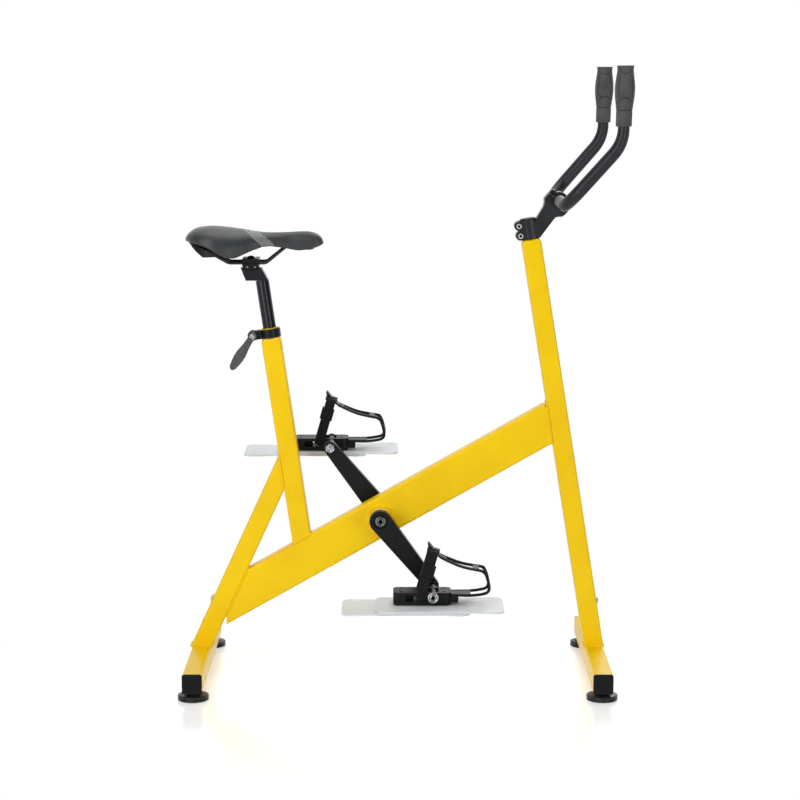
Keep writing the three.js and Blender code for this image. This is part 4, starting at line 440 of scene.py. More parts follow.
def placed(sheet, name, material):
    """Turn a bmesh into an object with one material."""
    mesh = bpy.data.meshes.new(name)
    sheet.to_mesh(mesh)
    sheet.free()
    mesh.materials.append(material)
    return in_scene(name, mesh)


def softened(node, material, width, sharp_from=40):
    """Round the edges of a solid that turn more than sharp_from degrees, by width in millimetres."""
    sheet = merged_copy(node)
    for face in sheet.faces:
        face.smooth = True
    limit = math.radians(sharp_from)
    for edge in sheet.edges:
        edge.smooth = not edge.is_manifold or edge.calc_face_angle() < limit
    piece = placed(sheet, node + "_finished", material)
    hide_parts(node)
    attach(piece, BODY_OF[node])
    bevel = piece.modifiers.new("rounded edges", "BEVEL")
    bevel.limit_method = "ANGLE"
    bevel.angle_limit = limit
    bevel.width = width * MM
    bevel.segments = 2
    bevel.use_clamp_overlap = True
    bevel.miter_outer = "MITER_ARC"
    weights = piece.modifiers.new("flat faces stay flat", "WEIGHTED_NORMAL")
    weights.keep_sharp = False
    return piece


PAINTED = ["front_upright", "seat_tube", "rear_leg", "cross_beam", "bottom_bracket_shell",
           "front_base_beam", "rear_base_beam"]
for node in PAINTED:
    softened(node, YELLOW, 0.8)
print("painted pieces:", len(PAINTED))

# %% Bolts with dark sockets
STEM_PIECES = ["stem", "stem_faceplate", "steerer_cap"]
CAST_BLACK = ["right_crank", "left_crank", "seat_collar", "rail_cradle", "rail_cap", "rail_clamp_bolt"]
BRIGHT = ["front_leg_bolt", "rear_leg_bolt", "upper_faceplate_bolt", "lower_faceplate_bolt",
          "lower_pinch_bolt", "upper_pinch_bolt", "collar_skewer", "crank_axle", "right_crank_bolt",
          "left_crank_bolt", "right_pedal_axle", "left_pedal_axle"]
LINES_OUT = 8
LINES_BLOCKED = 6
OFF_THE_FACE = 0.00005
SOCKET_REACH = 0.012


def mark_shaded_sockets(piece):
    """Give each face a number: 1 if most lines that leave it soon meet the piece again, else 0."""
    mesh = piece.data
    sheet = bmesh.new()
    sheet.from_mesh(mesh)
    tree = BVHTree.FromBMesh(sheet)
    marks = []
    for face in sheet.faces:
        normal = face.normal
        start = face.calc_center_median() + normal * OFF_THE_FACE
        aside = normal.orthogonal().normalized()
        tilted = [normal * 0.6 + Matrix.Rotation(math.tau * step / LINES_OUT, 3, normal) @ aside
                  for step in range(LINES_OUT)]
        hits = sum(tree.ray_cast(start, line, SOCKET_REACH)[0] is not None for line in tilted)
        marks.append(1.0 if hits >= LINES_BLOCKED else 0.0)
    sheet.free()
    # The steel materials paint the marked faces dark, as painted shade.
    mesh.attributes.new("socket", "FLOAT", "FACE").data.foreach_set("value", marks)


for node in STEM_PIECES:
    softened(node, STEM_BLACK, 0.8)
for node in CAST_BLACK:
    softened(node, CRANK_BLACK, 0.8)
softened("seatpost", POST_BLACK, 0.5, 50)
for node in BRIGHT:
    centre = node.split("_")[0] + "_pedal_spin" if node.endswith("pedal_axle") else node
    centre = "crank_spin" if "crank" in node else centre
    mark_shaded_sockets(softened(node, TURNED.get(centre, STEEL), 0.4, 50))
print("black metal:", len(STEM_PIECES + CAST_BLACK) + 1, "and bolts and axles:", len(BRIGHT))

# %% Plastic pieces
SIDES = {"right": -1, "left": 1}
CAPS = [f"{end}_{side}_end_cap" for end in ("front", "rear") for side in SIDES]
MOULDED = ["saddle_base"]
MOULDED += [f"{side}_{part}" for side in SIDES for part in ("pedal_body", "toe_clip", "strap_buckle")]
FINS = [f"{side}_{level}_fin" for side in SIDES for level in ("upper", "lower")]

for node in MOULDED:
    softened(node, NYLON, 0.6, 50)
for node in CAPS:
    softened(node, CAP_PLASTIC, 0.6, 50)
softened("clamp_lever", LEVER_NYLON, 2.0)
for node in FINS:
    softened(node, FROSTED, 0.4)
for side in SIDES:
    softened(side + "_axle_bush", BUSH_NYLON, 0.3)
print("nylon:", len(MOULDED), "caps:", len(CAPS), "fins:", len(FINS), "bushes:", len(SIDES))

# %% [markdown]
# ## Geometry Nodes helpers
#
# A Geometry Nodes tree is a small machine: a path goes in, a finished shape comes out, and its named inputs
# are the sizes. Each tree here is built once and run on one or more paths. The result is kept as a plain
# mesh, so it can ride on a moving body like any other piece.

# %% Geometry Nodes helpers
AXLE = JOINT_AT["crank_spin"]
BAR = JOINT_AT["handlebar_tilt"]


def new_tree(name, sizes):
    """A tree with a geometry in and out, named numbers and a material, and its path as a curve."""
    tree = bpy.data.node_groups.new(name, "GeometryNodeTree")
    tree.interface.new_socket("Geometry", in_out="OUTPUT", socket_type="NodeSocketGeometry")
    tree.interface.new_socket("Geometry", in_out="INPUT", socket_type="NodeSocketGeometry")
    for label in sizes:
        tree.interface.new_socket(label, in_out="INPUT", socket_type="NodeSocketFloat")
    tree.interface.new_socket("Material", in_out="INPUT", socket_type="NodeSocketMaterial")
    given = add(tree, "NodeGroupInput").outputs
    return tree, given, add(tree, "GeometryNodeMeshToCurve", {"Mesh": given["Geometry"]}).outputs[0]


def evenly(tree, curve, step):
    """The same curve with a point after every step of length."""
    return add(tree, "GeometryNodeResampleCurve", {"Curve": curve, "Length": step}, mode="LENGTH").outputs[0]


def circle(tree, points, radius):
    """A circle to sweep along a curve."""
    return add(tree, "GeometryNodeCurvePrimitiveCircle", {"Resolution": points, "Radius": radius}).outputs[0]


def end_tree(tree, given, shape):
    """Smooth shading, real geometry and a material at the end of a tree."""
    smooth = add(tree, "GeometryNodeSetShadeSmooth", {"Geometry": shape.outputs[0]})
    real = add(tree, "GeometryNodeRealizeInstances", {"Geometry": smooth.outputs[0]})
    dressed = add(tree, "GeometryNodeSetMaterial",
                  {"Geometry": real.outputs[0], "Material": given["Material"]})
    add(tree, "NodeGroupOutput", {"Geometry": dressed.outputs[0]})
    print("tree:", tree.name, "with", len(tree.nodes), "nodes")
    return tree


def path_mesh(name, lines, closed=False):
    """Lines of points as a mesh of edges, which a tree can turn to curves."""
    points, edges = [], []
    for line in lines:
        first = len(points)
        points += line
        edges += [(first + step, first + step + 1) for step in range(len(line) - 1)]
        if closed:
            edges.append((first + len(line) - 1, first))
    mesh = bpy.data.meshes.new(name + "_path")
    mesh.from_pydata(points, edges, [])
    return mesh


def grown(name, tree, path, **inputs):
    """Run a tree on a path and keep the result as a plain mesh object."""
    holder = in_scene(name + "_holder", path)
    modifier = holder.modifiers.new(tree.name, "NODES")
    modifier.node_group = tree
    for socket in tree.interface.items_tree:
        key = socket.name.lower().replace(" ", "_")
        if socket.in_out == "INPUT" and key in inputs:
            modifier[socket.identifier] = inputs[key]
    evaluated = holder.evaluated_get(bpy.context.evaluated_depsgraph_get())
    mesh = bpy.data.meshes.new_from_object(evaluated)
    holder.modifiers.remove(modifier)
    bpy.data.objects.remove(holder)
    mesh.name = name
    print(name + ":", len(mesh.polygons), "faces")
    return in_scene(name, mesh)


# %% [markdown]
# ## Weld beads
#
# The frame's tubes are cut to fit and welded. Under the powder each weld is a soft bead about 4 mm wide,
# laid in overlapping ripples 2 to 3 mm apart. A bead could be sculpted, but a round section swept along
# the line where two tubes meet is exact and quick, and a sine wave on its thickness gives the ripples.
# Each line is found by sliding the tube's outline along the tube until it meets the other tube's face.
# Only the two at the crank's shell are plain circles.

# %% The weld tree
STEPS_PER_RIPPLE = 5.0


def weld_tree():
    tree, given, path = new_tree("weld bead", ["Bead radius", "Ripple spacing", "Ripple share"])
    spacing = given["Ripple spacing"]
    fine = evenly(tree, path, maths(tree, "DIVIDE", spacing, STEPS_PER_RIPPLE))
    along = add(tree, "GeometryNodeSplineParameter").outputs["Length"]
    turn = maths(tree, "MULTIPLY", maths(tree, "DIVIDE", along, spacing), math.tau)
    swell = maths(tree, "MULTIPLY_ADD", maths(tree, "SINE", turn), given["Ripple share"], 1.0)
    section = circle(tree, 10, given["Bead radius"])
    bead = add(tree, "GeometryNodeCurveToMesh", {"Curve": fine, "Profile Curve": section, "Scale": swell})
    return end_tree(tree, given, bead)


WELD = weld_tree()

# %% Where the tubes meet
BASE_TOP = 58 * MM
TUBE = 40 * MM
BEAM_HEIGHT = 80 * MM
SLOPE = math.radians(29.5)
UPRIGHT_LEAN = math.radians(-9.2)
SEAT_LEAN = math.radians(-8.3)
BEAM_REAR_LENGTH = 180 * MM
LEG_JOINT_HEIGHT = 456 * MM


def leaning(angle):
    return Vector((math.sin(angle), 0, math.cos(angle)))


def across(along):
    """The level-ish direction at right angles to a tube that lies in the bike's middle plane."""
    return Vector((along.z, 0, -along.x))


def box_middle(node):
    low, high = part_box(node)
    return (Vector(low) + Vector(high)) / 2


beam_along = Vector((math.cos(SLOPE), 0, math.sin(SLOPE)))
beam_up = Vector((-math.sin(SLOPE), 0, math.cos(SLOPE)))
upright_foot = Vector((box_middle("front_base_beam").x, 0, BASE_TOP))
leg_foot = Vector((box_middle("rear_base_beam").x, 0, BASE_TOP))
seat_foot = AXLE - beam_along * BEAM_REAR_LENGTH
upright_along, seat_along = leaning(UPRIGHT_LEAN), leaning(SEAT_LEAN)
leg_joint = seat_foot + seat_along * ((LEG_JOINT_HEIGHT - seat_foot.z) / seat_along.z)
leg_along = (leg_joint - leg_foot).normalized()
print("seat tube starts at", [round(value, 3) for value in seat_foot])

# %% Weld beads
BEAM_TIP_SETBACK = 52 * MM
TUBE_CORNER = 5 * MM
BEAM_CORNER = 6 * MM
SHELL_WELD_RADIUS = 26 * MM
SHELL_WELD_POINTS = 40


def tube_outline(depth, width, corner, steps=4):
    """Points round a tube's section, as (across the plane of the frame, sideways)."""
    points = []
    for quarter in range(4):
        middle_x = (depth / 2 - corner) * (1 if quarter in (0, 3) else -1)
        middle_y = (width / 2 - corner) * (1 if quarter in (0, 1) else -1)
        for step in range(steps + 1):
            angle = (quarter + step / steps) * math.pi / 2
            points.append((middle_x + corner * math.cos(angle), middle_y + corner * math.sin(angle)))
    return points


def seam(foot, along, outline, face_point, face_normal):
    """The closed line where a tube's skin meets a flat face."""
    line = []
    for aside, sideways in outline:
        start = foot + across(along) * aside + Vector((0, sideways, 0))
        line.append(start + along * ((face_point - start).dot(face_normal) / along.dot(face_normal)))
    return line


def clipped_to_tip(line):
    """The beam's lower tip is sawn off upright, so its weld turns there and runs across."""
    tip = leg_foot.x + BEAM_TIP_SETBACK
    return [point + leg_along * max(0, (tip - point.x) / leg_along.x) for point in line]


def circle_line(middle, radius, count):
    turns = [math.tau * step / count for step in range(count)]
    return [middle + Vector((radius * math.cos(turn), 0, radius * math.sin(turn))) for turn in turns]


square = tube_outline(TUBE, TUBE, TUBE_CORNER)
tall = tube_outline(BEAM_HEIGHT, TUBE, BEAM_CORNER)
straight_up = Vector((0, 0, 1))
seams = [
    seam(upright_foot, upright_along, square, upright_foot, straight_up),
    seam(leg_foot, leg_along, square, leg_foot, straight_up),
    seam(seat_foot, seat_along, square, seat_foot + beam_up * BEAM_HEIGHT / 2, beam_up),
    seam(leg_foot, leg_along, square, seat_foot - across(seat_along) * TUBE / 2, across(seat_along)),
    seam(AXLE, beam_along, tall, upright_foot - across(upright_along) * TUBE / 2, across(upright_along)),
    clipped_to_tip(seam(AXLE, beam_along, tall, leg_foot + across(leg_along) * TUBE / 2, across(leg_along))),
]
seams += [circle_line(AXLE + Vector((0, side * TUBE / 2, 0)), SHELL_WELD_RADIUS, SHELL_WELD_POINTS)
          for side in SIDES.values()]

welds = grown("frame_welds", WELD, path_mesh("frame_welds", seams, closed=True), bead_radius=2.2 * MM,
              ripple_spacing=2.4 * MM, ripple_share=0.07, material=YELLOW)
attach(welds, "frame")

# %% [markdown]
# ## Handlebar and saddle rails
#
# Both are round stock bent over a former: straight lengths with an even bend at each corner. That is a rule,
# so a tree follows it: the corners go in as a bare line, a fillet rounds them, and a circle is swept along.
# The bar is also drawn down a little at its ends, where the grips slide on, so the tree thins both ends.
# The bar has six corners, and the two in the middle take the inner bend. A rail bends alike at every corner.

# %% The bent bar tree
MIDDLE_OF_SIX = 2.5


def bent_bar_tree():
    sizes = ["Bar radius", "Outer bend", "Inner bend", "Taper length", "End share"]
    tree, given, path = new_tree("bent bar", sizes)
    index = add(tree, "GeometryNodeInputIndex").outputs[0]
    from_middle = maths(tree, "ABSOLUTE", maths(tree, "SUBTRACT", index, MIDDLE_OF_SIX))
    bends = {"Factor": maths(tree, "LESS_THAN", from_middle, 1.0),
             "A": given["Outer bend"], "B": given["Inner bend"]}
    bend = add(tree, "ShaderNodeMix", bends, data_type="FLOAT").outputs[0]
    rounded = add(tree, "GeometryNodeFilletCurve", {"Curve": path, "Radius": bend, "Count": 24}, mode="POLY")
    fine = evenly(tree, rounded.outputs[0], 2 * MM)
    along = add(tree, "GeometryNodeSplineParameter").outputs["Length"]
    whole = add(tree, "GeometryNodeSplineLength").outputs["Length"]
    nearest = maths(tree, "MINIMUM", maths(tree, "SUBTRACT", whole, along), along)
    thickness = ranged(tree, nearest, 0.0, given["Taper length"], given["End share"], 1.0, shape="SMOOTHSTEP")
    section = circle(tree, 32, given["Bar radius"])
    bar = add(tree, "GeometryNodeCurveToMesh",
              {"Curve": fine, "Profile Curve": section, "Scale": thickness, "Fill Caps": True})
    return end_tree(tree, given, bar)


BENT_BAR = bent_bar_tree()

# %% Handlebar
BAR_REACH = 108 * MM
BAR_RISE = 122 * MM
BAR_HALF_WIDTH = 222 * MM
BAR_ELBOW = 205 * MM
GRIP_FOOT = 154 * MM


def bar_corners():
    """Grip end, shoulder and elbow on the right, then the same three in reverse on the left."""
    right = [(BAR_REACH, -BAR_HALF_WIDTH, GRIP_FOOT + 3 * MM), (BAR_REACH, -BAR_HALF_WIDTH, BAR_RISE),
             (0, -BAR_ELBOW, 0)]
    left = [(x, -y, z) for x, y, z in reversed(right)]
    return [BAR + Vector(corner) for corner in right + left]


handlebar = grown("handlebar_bent", BENT_BAR, path_mesh("handlebar", [bar_corners()]), bar_radius=12.7 * MM,
                  outer_bend=75 * MM, inner_bend=50 * MM, taper_length=70 * MM, end_share=0.9,
                  material=BAR_BLACK)
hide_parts("handlebar")
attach(handlebar, "handlebar")

# %% Saddle rails
RAILS = JOINT_AT["saddle_tilt"] - Vector((0, 0, 6 * MM))
RAIL_CORNERS = [(-90, 36, 27), (-44, 22, 0), (31, 22, 0), (72, 8, 33)]

for name, side in SIDES.items():
    corners = [RAILS + Vector((x, side * y, z)) * MM for x, y, z in RAIL_CORNERS]
    rail = grown(name + "_rail_bent", BENT_BAR, path_mesh(name + "_rail", [corners]), bar_radius=3.5 * MM,
                 outer_bend=14 * MM, inner_bend=14 * MM, taper_length=1 * MM, end_share=1.0,
                 material=BAR_BLACK)
    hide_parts(name + "_saddle_rail")
    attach(rail, "saddle")

# %% [markdown]
# ## Skins from rings of points
#
# Grips, feet, saddle and straps have no flat faces to start from. Each is a stack of closed rings, like the
# ribs of a boat, with a skin drawn over them. The same function also lays a UV map: one number counts
# along the piece and the other round it, so that a pattern can follow the surface.

# %% Skins from rings of points
def skinned(name, rings, place_of, material, looped=False):
    """A closed smooth mesh over rings with equal counts. place_of gives the UV of ring i, point j."""
    sheet = bmesh.new()
    layer = sheet.loops.layers.uv.new("surface")
    rows = [[sheet.verts.new(point) for point in ring] for ring in rings]
    count = len(rings[0])
    last = len(rings) if looped else len(rings) - 1
    for i in range(last):
        upper = rows[(i + 1) % len(rows)]
        for j in range(count):
            k = (j + 1) % count
            face = sheet.faces.new((rows[i][j], rows[i][k], upper[k], upper[j]))
            face.smooth = True
            places = ((i, j), (i, j + 1), (i + 1, j + 1), (i + 1, j))
            for loop, place in zip(face.loops, places):
                loop[layer].uv = place_of(*place)
    if not looped:
        sheet.faces.new(list(reversed(rows[0])))
        sheet.faces.new(rows[-1])
    bmesh.ops.recalc_face_normals(sheet, faces=sheet.faces)
    print(name + ":", len(sheet.faces), "faces")
    return placed(sheet, name, material)


def curve_value(table, share):
    """A smooth value between the rows of a table of [share, value]."""
    for i in range(len(table) - 1):
        if share <= table[i + 1][0] or i == len(table) - 2:
            break
    before, after = table[max(i - 1, 0)], table[min(i + 2, len(table) - 1)]
    (x0, y0), (x1, y1) = table[i], table[i + 1]
    slope_0 = (y1 - before[1]) / max(x1 - before[0], 1e-9)
    slope_1 = (after[1] - y0) / max(after[0] - x0, 1e-9)
    t = min(max((share - x0) / (x1 - x0), 0), 1)
    run = (x1 - x0)
    return ((2 * t ** 3 - 3 * t ** 2 + 1) * y0 + (t ** 3 - 2 * t ** 2 + t) * run * slope_0
            + (3 * t ** 2 - 2 * t ** 3) * y1 + (t ** 3 - t ** 2) * run * slope_1)


print("half way between two rows:", round(curve_value([[0, 0], [1, 1]], 0.5), 3))

# %% [markdown]
# ## Grip rubber
#
# Grips are soft thermoplastic rubber, moulded in one piece. The skin is dull and slightly tacky, so it has
# almost no mirror and a little sheen at the rim. The grain of the mould is 0.2 mm, drawn 1.2 mm wide here.
# The grooves are painted darker as shade: an attribute called groove, 1 in a groove and 0 on the skin,
# darkens them with painted shade.

# %% Grip rubber
def grip_rubber():
    material, tree, shader = new_material(
        "Thermoplastic rubber, charcoal, moulded", IOR=1.5, Specular_IOR_Level=0.25, Sheen_Weight=0.12,
        Sheen_Roughness=0.5)
    groove = add(tree, "ShaderNodeAttribute", attribute_name="groove", attribute_type="GEOMETRY")
    skin = mottle(tree, 0.02, linear("#434545"), linear("#4f5151"))
    # Painted shade: the grooves are blended to near black.
    wire(tree, shader, Base_Color=blend(tree, groove.outputs["Fac"], skin, linear("#171818")),
         Roughness=mottle(tree, 0.004, 0.58, 0.7), Normal=dimples(tree, 0.0012, 0.0001, 0.5))
    return material


GRIP_RUBBER = grip_rubber()

# %% [markdown]
# ## Grips
#
# A grip is a barrel that swells for the palm, with a plain collar at its foot and a lip on top. Grooves
# mark the palm panel: a ring above the collar, an arch, two side lines and a hanging arc under the lip.
# Sculpting them would take thousands of strokes. Each groove is a simple curve over height and angle, so the
# distance to it sets how deep the skin is pressed in at every point.

# %% Where the grooves of a grip run
GROOVE_DEPTH = 1.0 * MM
GROOVE_HALF_WIDTH = 0.75 * MM
RING_HEIGHT = 31
ARCH_TOP, ARCH_DROP = 54.6, 12.6
ARC_BOTTOM, ARC_RISE = 100.5, 12
SIDE_LINE_FOOT, SIDE_LINE_TOP = 56, 98
SIDE_LINE_ANGLE = math.radians(42)
PALM_RADIUS = 19


def groove_at(height, angle):
    """How far a point lies in a groove, 0 to 1, from its height in millimetres and its angle."""
    turned_away = abs((angle % math.pi) - math.pi / 2)
    aside = math.sin(turned_away) ** 2
    gaps = [abs(height - RING_HEIGHT), abs(height - (ARCH_TOP - ARCH_DROP * aside)),
            abs(height - (ARC_BOTTOM + ARC_RISE * aside))]
    if SIDE_LINE_FOOT < height < SIDE_LINE_TOP:
        gaps.append(abs(turned_away - SIDE_LINE_ANGLE) * PALM_RADIUS)
    return math.exp(-(min(gaps) * MM / GROOVE_HALF_WIDTH) ** 2)


print("in the ring groove:", groove_at(RING_HEIGHT, 0.0))

# %% Grips
GRIP_LEAN = math.radians(1.1)
GRIP_COLUMNS, GRIP_ROWS = 112, 170
SKIN_FOOT, SKIN_LENGTH = 0.5, 115.1
GRIP_RADII = [[0, 15.5], [29, 15.7], [33, 15.9], [45, 17.4], [58, 18.9], [70, 19.5], [82, 18.9], [95, 17.2],
              [106, 15.9], [110.5, 15.9], [113, 16.8], [114.6, 16.6], [115.6, 15.6]]
GRIP_INSIDE = [(12.7, 4.0), (12.7, 0.5), (13.2, 0.0), (15.0, 0.0)]
GRIP_TOP = [(14.6, 116.0), (8.0, 115.8), (1.0, 115.7)]


def grip_rings(foot):
    """Rings from inside the collar, out over its edge, up the skin and in over the top."""
    heights = [SKIN_FOOT + SKIN_LENGTH * row / GRIP_ROWS for row in range(GRIP_ROWS + 1)]
    outline = GRIP_INSIDE + [(curve_value(GRIP_RADII, height), height) for height in heights] + GRIP_TOP
    rings, depths = [], []
    for radius, height in outline:
        ring = []
        for column in range(GRIP_COLUMNS):
            angle = math.tau * column / GRIP_COLUMNS
            share = groove_at(height, angle) if 1 < height < 115 else 0
            reach = radius * MM - GROOVE_DEPTH * share
            ring.append(foot + Vector((reach * math.cos(angle) + height * MM * math.sin(GRIP_LEAN),
                                       reach * math.sin(angle), height * MM)))
            depths.append(share)
        rings.append(ring)
    return rings, depths


for name, side in SIDES.items():
    rings, depths = grip_rings(BAR + Vector((BAR_REACH, side * BAR_HALF_WIDTH, GRIP_FOOT)))
    grip = skinned(name + "_grip_moulded", rings,
                   lambda i, j: (i / (len(rings) - 1), j / GRIP_COLUMNS), GRIP_RUBBER)
    grip.data.attributes.new("groove", "FLOAT", "POINT").data.foreach_set("value", depths)
    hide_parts(name + "_grip")
    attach(grip, "handlebar")

# %% [markdown]
# ## Edge beads on the toe clips
#
# A thin moulded band is stiffened by a round bead along each of its edges, as on the rim of a bucket.
# The bead follows the band's curve, so the curve's few corner points go in, a Catmull-Rom spline rounds
# them, and an upright oval is swept along. One tree makes the two beads of both clips.

# %% The edge bead tree
def edge_bead_tree():
    tree, given, path = new_tree("edge bead", ["Bead radius", "Tallness"])
    smooth = add(tree, "GeometryNodeCurveSplineType", {"Curve": path}, spline_type="CATMULL_ROM")
    fine = evenly(tree, smooth.outputs[0], 1.5 * MM)
    size = add(tree, "ShaderNodeCombineXYZ", {0: 1.0, 1: given["Tallness"], 2: 1.0})
    oval = add(tree, "GeometryNodeTransform",
               {"Geometry": circle(tree, 14, given["Bead radius"]), "Scale": size.outputs[0]})
    bead = add(tree, "GeometryNodeCurveToMesh",
               {"Curve": fine, "Profile Curve": oval.outputs[0], "Fill Caps": True})
    return end_tree(tree, given, bead)


EDGE_BEAD = edge_bead_tree()

# %% Edge beads on the toe clips
CLIP_START = Vector((36.3, 0, 3))
CLIP_LENGTH, CLIP_HEIGHT = 76, 103
CLIP_BEAD_INSET = 2.2
CLIP_SHAPE = [(0, 0), (0.2, 0), (0.5, 0), (0.79, 0.025), (0.94, 0.06), (1, 0.14), (0.96, 0.31), (0.885, 0.45),
              (0.8, 0.485), (0.54, 0.52), (0.25, 0.57), (-0.04, 0.655), (-0.27, 0.735)]
CLIP_HALF_WIDTHS = [[0, 21], [0.22, 24.2], [0.45, 26], [0.7, 21.5], [1, 14]]


def clip_edge(pedal, side):
    """The edge of a clip's band on one side, from the pedal to where the strap's keeper starts."""
    points = [CLIP_START + Vector((x * CLIP_LENGTH, 0, z * CLIP_HEIGHT)) for x, z in CLIP_SHAPE]
    steps = [(after - before).length for before, after in zip(points, points[1:])]
    line = []
    for index, point in enumerate(points):
        share = sum(steps[:index]) / sum(steps)
        inset = curve_value(CLIP_HALF_WIDTHS, share) - CLIP_BEAD_INSET
        line.append(pedal + (point + Vector((0, side * inset, 0))) * MM)
    return line


for name in SIDES:
    edges = [clip_edge(JOINT_AT[name + "_pedal_spin"], side) for side in SIDES.values()]
    beads = grown(name + "_clip_beads", EDGE_BEAD, path_mesh(name + "_clip_beads", edges),
                  bead_radius=2.5 * MM, tallness=1.2, material=NYLON)
    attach(beads, name + "_pedal")

# %% [markdown]
# ## Feet and pedal rims
#
# A levelling foot is a rubber disc moulded on a stud. Its side has a groove that lets it spread under load,
# and the lip below the groove catches a line of light. Under each pedal runs a low rim that hides the bosses
# of the fins, and a web stands in the rear of the tunnel, behind the strap. All are rings stacked up a
# profile: round ones for the foot, rounded oblongs for the rim and the web.

# %% Feet
FOOT_COLUMNS = 64
FOOT_PROFILE = [
    (1, 0), (28.5, 0), (30.4, 0.6), (31, 1.8), (31, 4.0), (30.2, 4.6), (29.5, 5.2), (30.2, 5.8), (30.9, 6.5),
    (31, 9.2), (30.3, 10.4), (28, 11.2), (25.4, 11.5), (21, 12.1), (17.5, 12.4), (15.2, 12.6), (14.2, 13.4),
    (14, 14.6), (14, 17.6), (5, 17.7), (5, 39.7), (1, 39.7),
]


def foot_rings(middle):
    """Level circles about a middle in millimetres, up the profile of radii and heights."""
    turns = [math.tau * step / FOOT_COLUMNS for step in range(FOOT_COLUMNS)]
    return [[(middle + Vector((radius * math.cos(turn), radius * math.sin(turn), height))) * MM
             for turn in turns] for radius, height in FOOT_PROFILE]


for node in (f"{end}_{name}_foot" for end in ("front", "rear") for name in SIDES):
    low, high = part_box(node)
    middle = Vector(((low[0] + high[0]) / 2, (low[1] + high[1]) / 2, low[2])) / MM
    foot = skinned(node + "_turned", foot_rings(middle),
                   lambda i, j: (i / (len(FOOT_PROFILE) - 1), j / FOOT_COLUMNS), FOOT_RUBBER)
    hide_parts(node)
    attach(foot, "frame")

# %% Rims and webs of the pedals
RIM_MIDDLE = Vector((-22, 0, 0))
RIM_LENGTH, RIM_WIDTH, RIM_CORNER = 115.6, 55.6, 10.8
RIM_PROFILE = [(0, -11.3), (0, -15.6), (-0.5, -16.3), (-3.5, -16.3), (-4, -15.6), (-4, -11.3)]
WEB_MIDDLE = Vector((-47, 0, 0))
WEB_LENGTH, WEB_WIDTH, WEB_CORNER = 16, 40, 1
WEB_HEIGHTS = (-7.8, 2.8)


def oblong(middle, length, width, corner, height):
    return [(middle + Vector((x, y, height))) * MM for x, y in tube_outline(length, width, corner)]


for name in SIDES:
    pedal = JOINT_AT[name + "_pedal_spin"] / MM
    rings = [oblong(pedal + RIM_MIDDLE, RIM_LENGTH + 2 * out, RIM_WIDTH + 2 * out, RIM_CORNER + out, height)
             for out, height in RIM_PROFILE]
    ends = [oblong(pedal + WEB_MIDDLE, WEB_LENGTH, WEB_WIDTH, WEB_CORNER, height) for height in WEB_HEIGHTS]
    rim = skinned(name + "_pedal_rim", rings, lambda i, j: (i / len(rings), j / len(rings[0])), NYLON,
                  looped=True)
    web = skinned(name + "_pedal_web", ends, lambda i, j: (i, j / len(ends[0])), NYLON)
    for piece in (rim, web):
        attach(piece, name + "_pedal")

# %% [markdown]
# ## Saddle skin
#
# The cover is synthetic leather over foam. Its embossed grain is about 1 mm across, which just shows, and the
# surface is satin with a soft sheen. A lighter band crosses the middle, with a thin silver line printed along
# each of its edges. The band is found on the UV map: its middle line starts at one share of the length on the
# crown and slants forward down both flanks.

# %% Saddle skin
BAND_CROWN_SHARE = 0.485
BAND_EDGE_SHARE = 0.6
BAND_SLANT = 1.6
BAND_HALF_SHARE = 0.043
SILVER_HALF_SHARE = 0.0022
FURROW_SHARE = 0.004


def uv_numbers(tree):
    """The two numbers of the UV map, as outputs X and Y."""
    uv = add(tree, "ShaderNodeUVMap", uv_map="surface").outputs[0]
    return add(tree, "ShaderNodeSeparateXYZ", {0: uv}).outputs


def from_band(tree):
    """Distance of a point from the middle of the band, as a share of the saddle's length."""
    place = uv_numbers(tree)
    side = maths(tree, "POWER", maths(tree, "ABSOLUTE", place["Y"]), BAND_SLANT)
    middle = maths(tree, "MULTIPLY_ADD", side, BAND_EDGE_SHARE - BAND_CROWN_SHARE, BAND_CROWN_SHARE)
    return maths(tree, "ABSOLUTE", maths(tree, "SUBTRACT", place["X"], middle))


def nearer_than(tree, distance, limit, soft=0.001):
    """1 where a distance is below a limit and 0 where it is above, with a soft change between."""
    return ranged(tree, distance, limit + soft, limit - soft)


def saddle_skin():
    material, tree, shader = new_material(
        "Synthetic leather, charcoal, embossed", IOR=1.5, Specular_IOR_Level=0.5, Sheen_Weight=0.1,
        Sheen_Roughness=0.4)
    away = from_band(tree)
    from_edge = maths(tree, "ABSOLUTE", maths(tree, "SUBTRACT", away, BAND_HALF_SHARE))
    skin = mottle(tree, 0.025, linear("#282a2c"), linear("#313335"))
    banded = blend(tree, nearer_than(tree, away, BAND_HALF_SHARE), skin, linear("#6b6d6e"))
    silver = blend(tree, nearer_than(tree, from_edge, SILVER_HALF_SHARE), banded, linear("#a2a4a5"))
    grain = add(tree, "ShaderNodeTexVoronoi", {"Vector": own_place(tree), "Scale": 1 / 0.0012},
                feature="DISTANCE_TO_EDGE")
    furrow = ranged(tree, from_edge, 0.0, FURROW_SHARE, shape="SMOOTHSTEP")
    pressed = add(tree, "ShaderNodeBump",
                  {"Height": furrow, "Distance": 0.001, "Strength": 0.9,
                   "Normal": bump(tree, grain.outputs["Distance"], 0.0002, 0.35)})
    wire(tree, shader, Base_Color=silver, Roughness=mottle(tree, 0.006, 0.38, 0.48),
         Normal=pressed.outputs[0])
    return material


SADDLE_SKIN = saddle_skin()

# %% [markdown]
# ## Saddle cover
#
# The cover is a long shell of foam and skin: wide wings at the rear, a waist, and a long nose. Its sides roll
# under at the rim and it is hollow below, where the hard base sits. Foam under a stretched skin has no folds,
# so no cloth is simulated: the form is drawn from three tables, for its width, crown and rim, and rings
# across it give the swollen flanks.

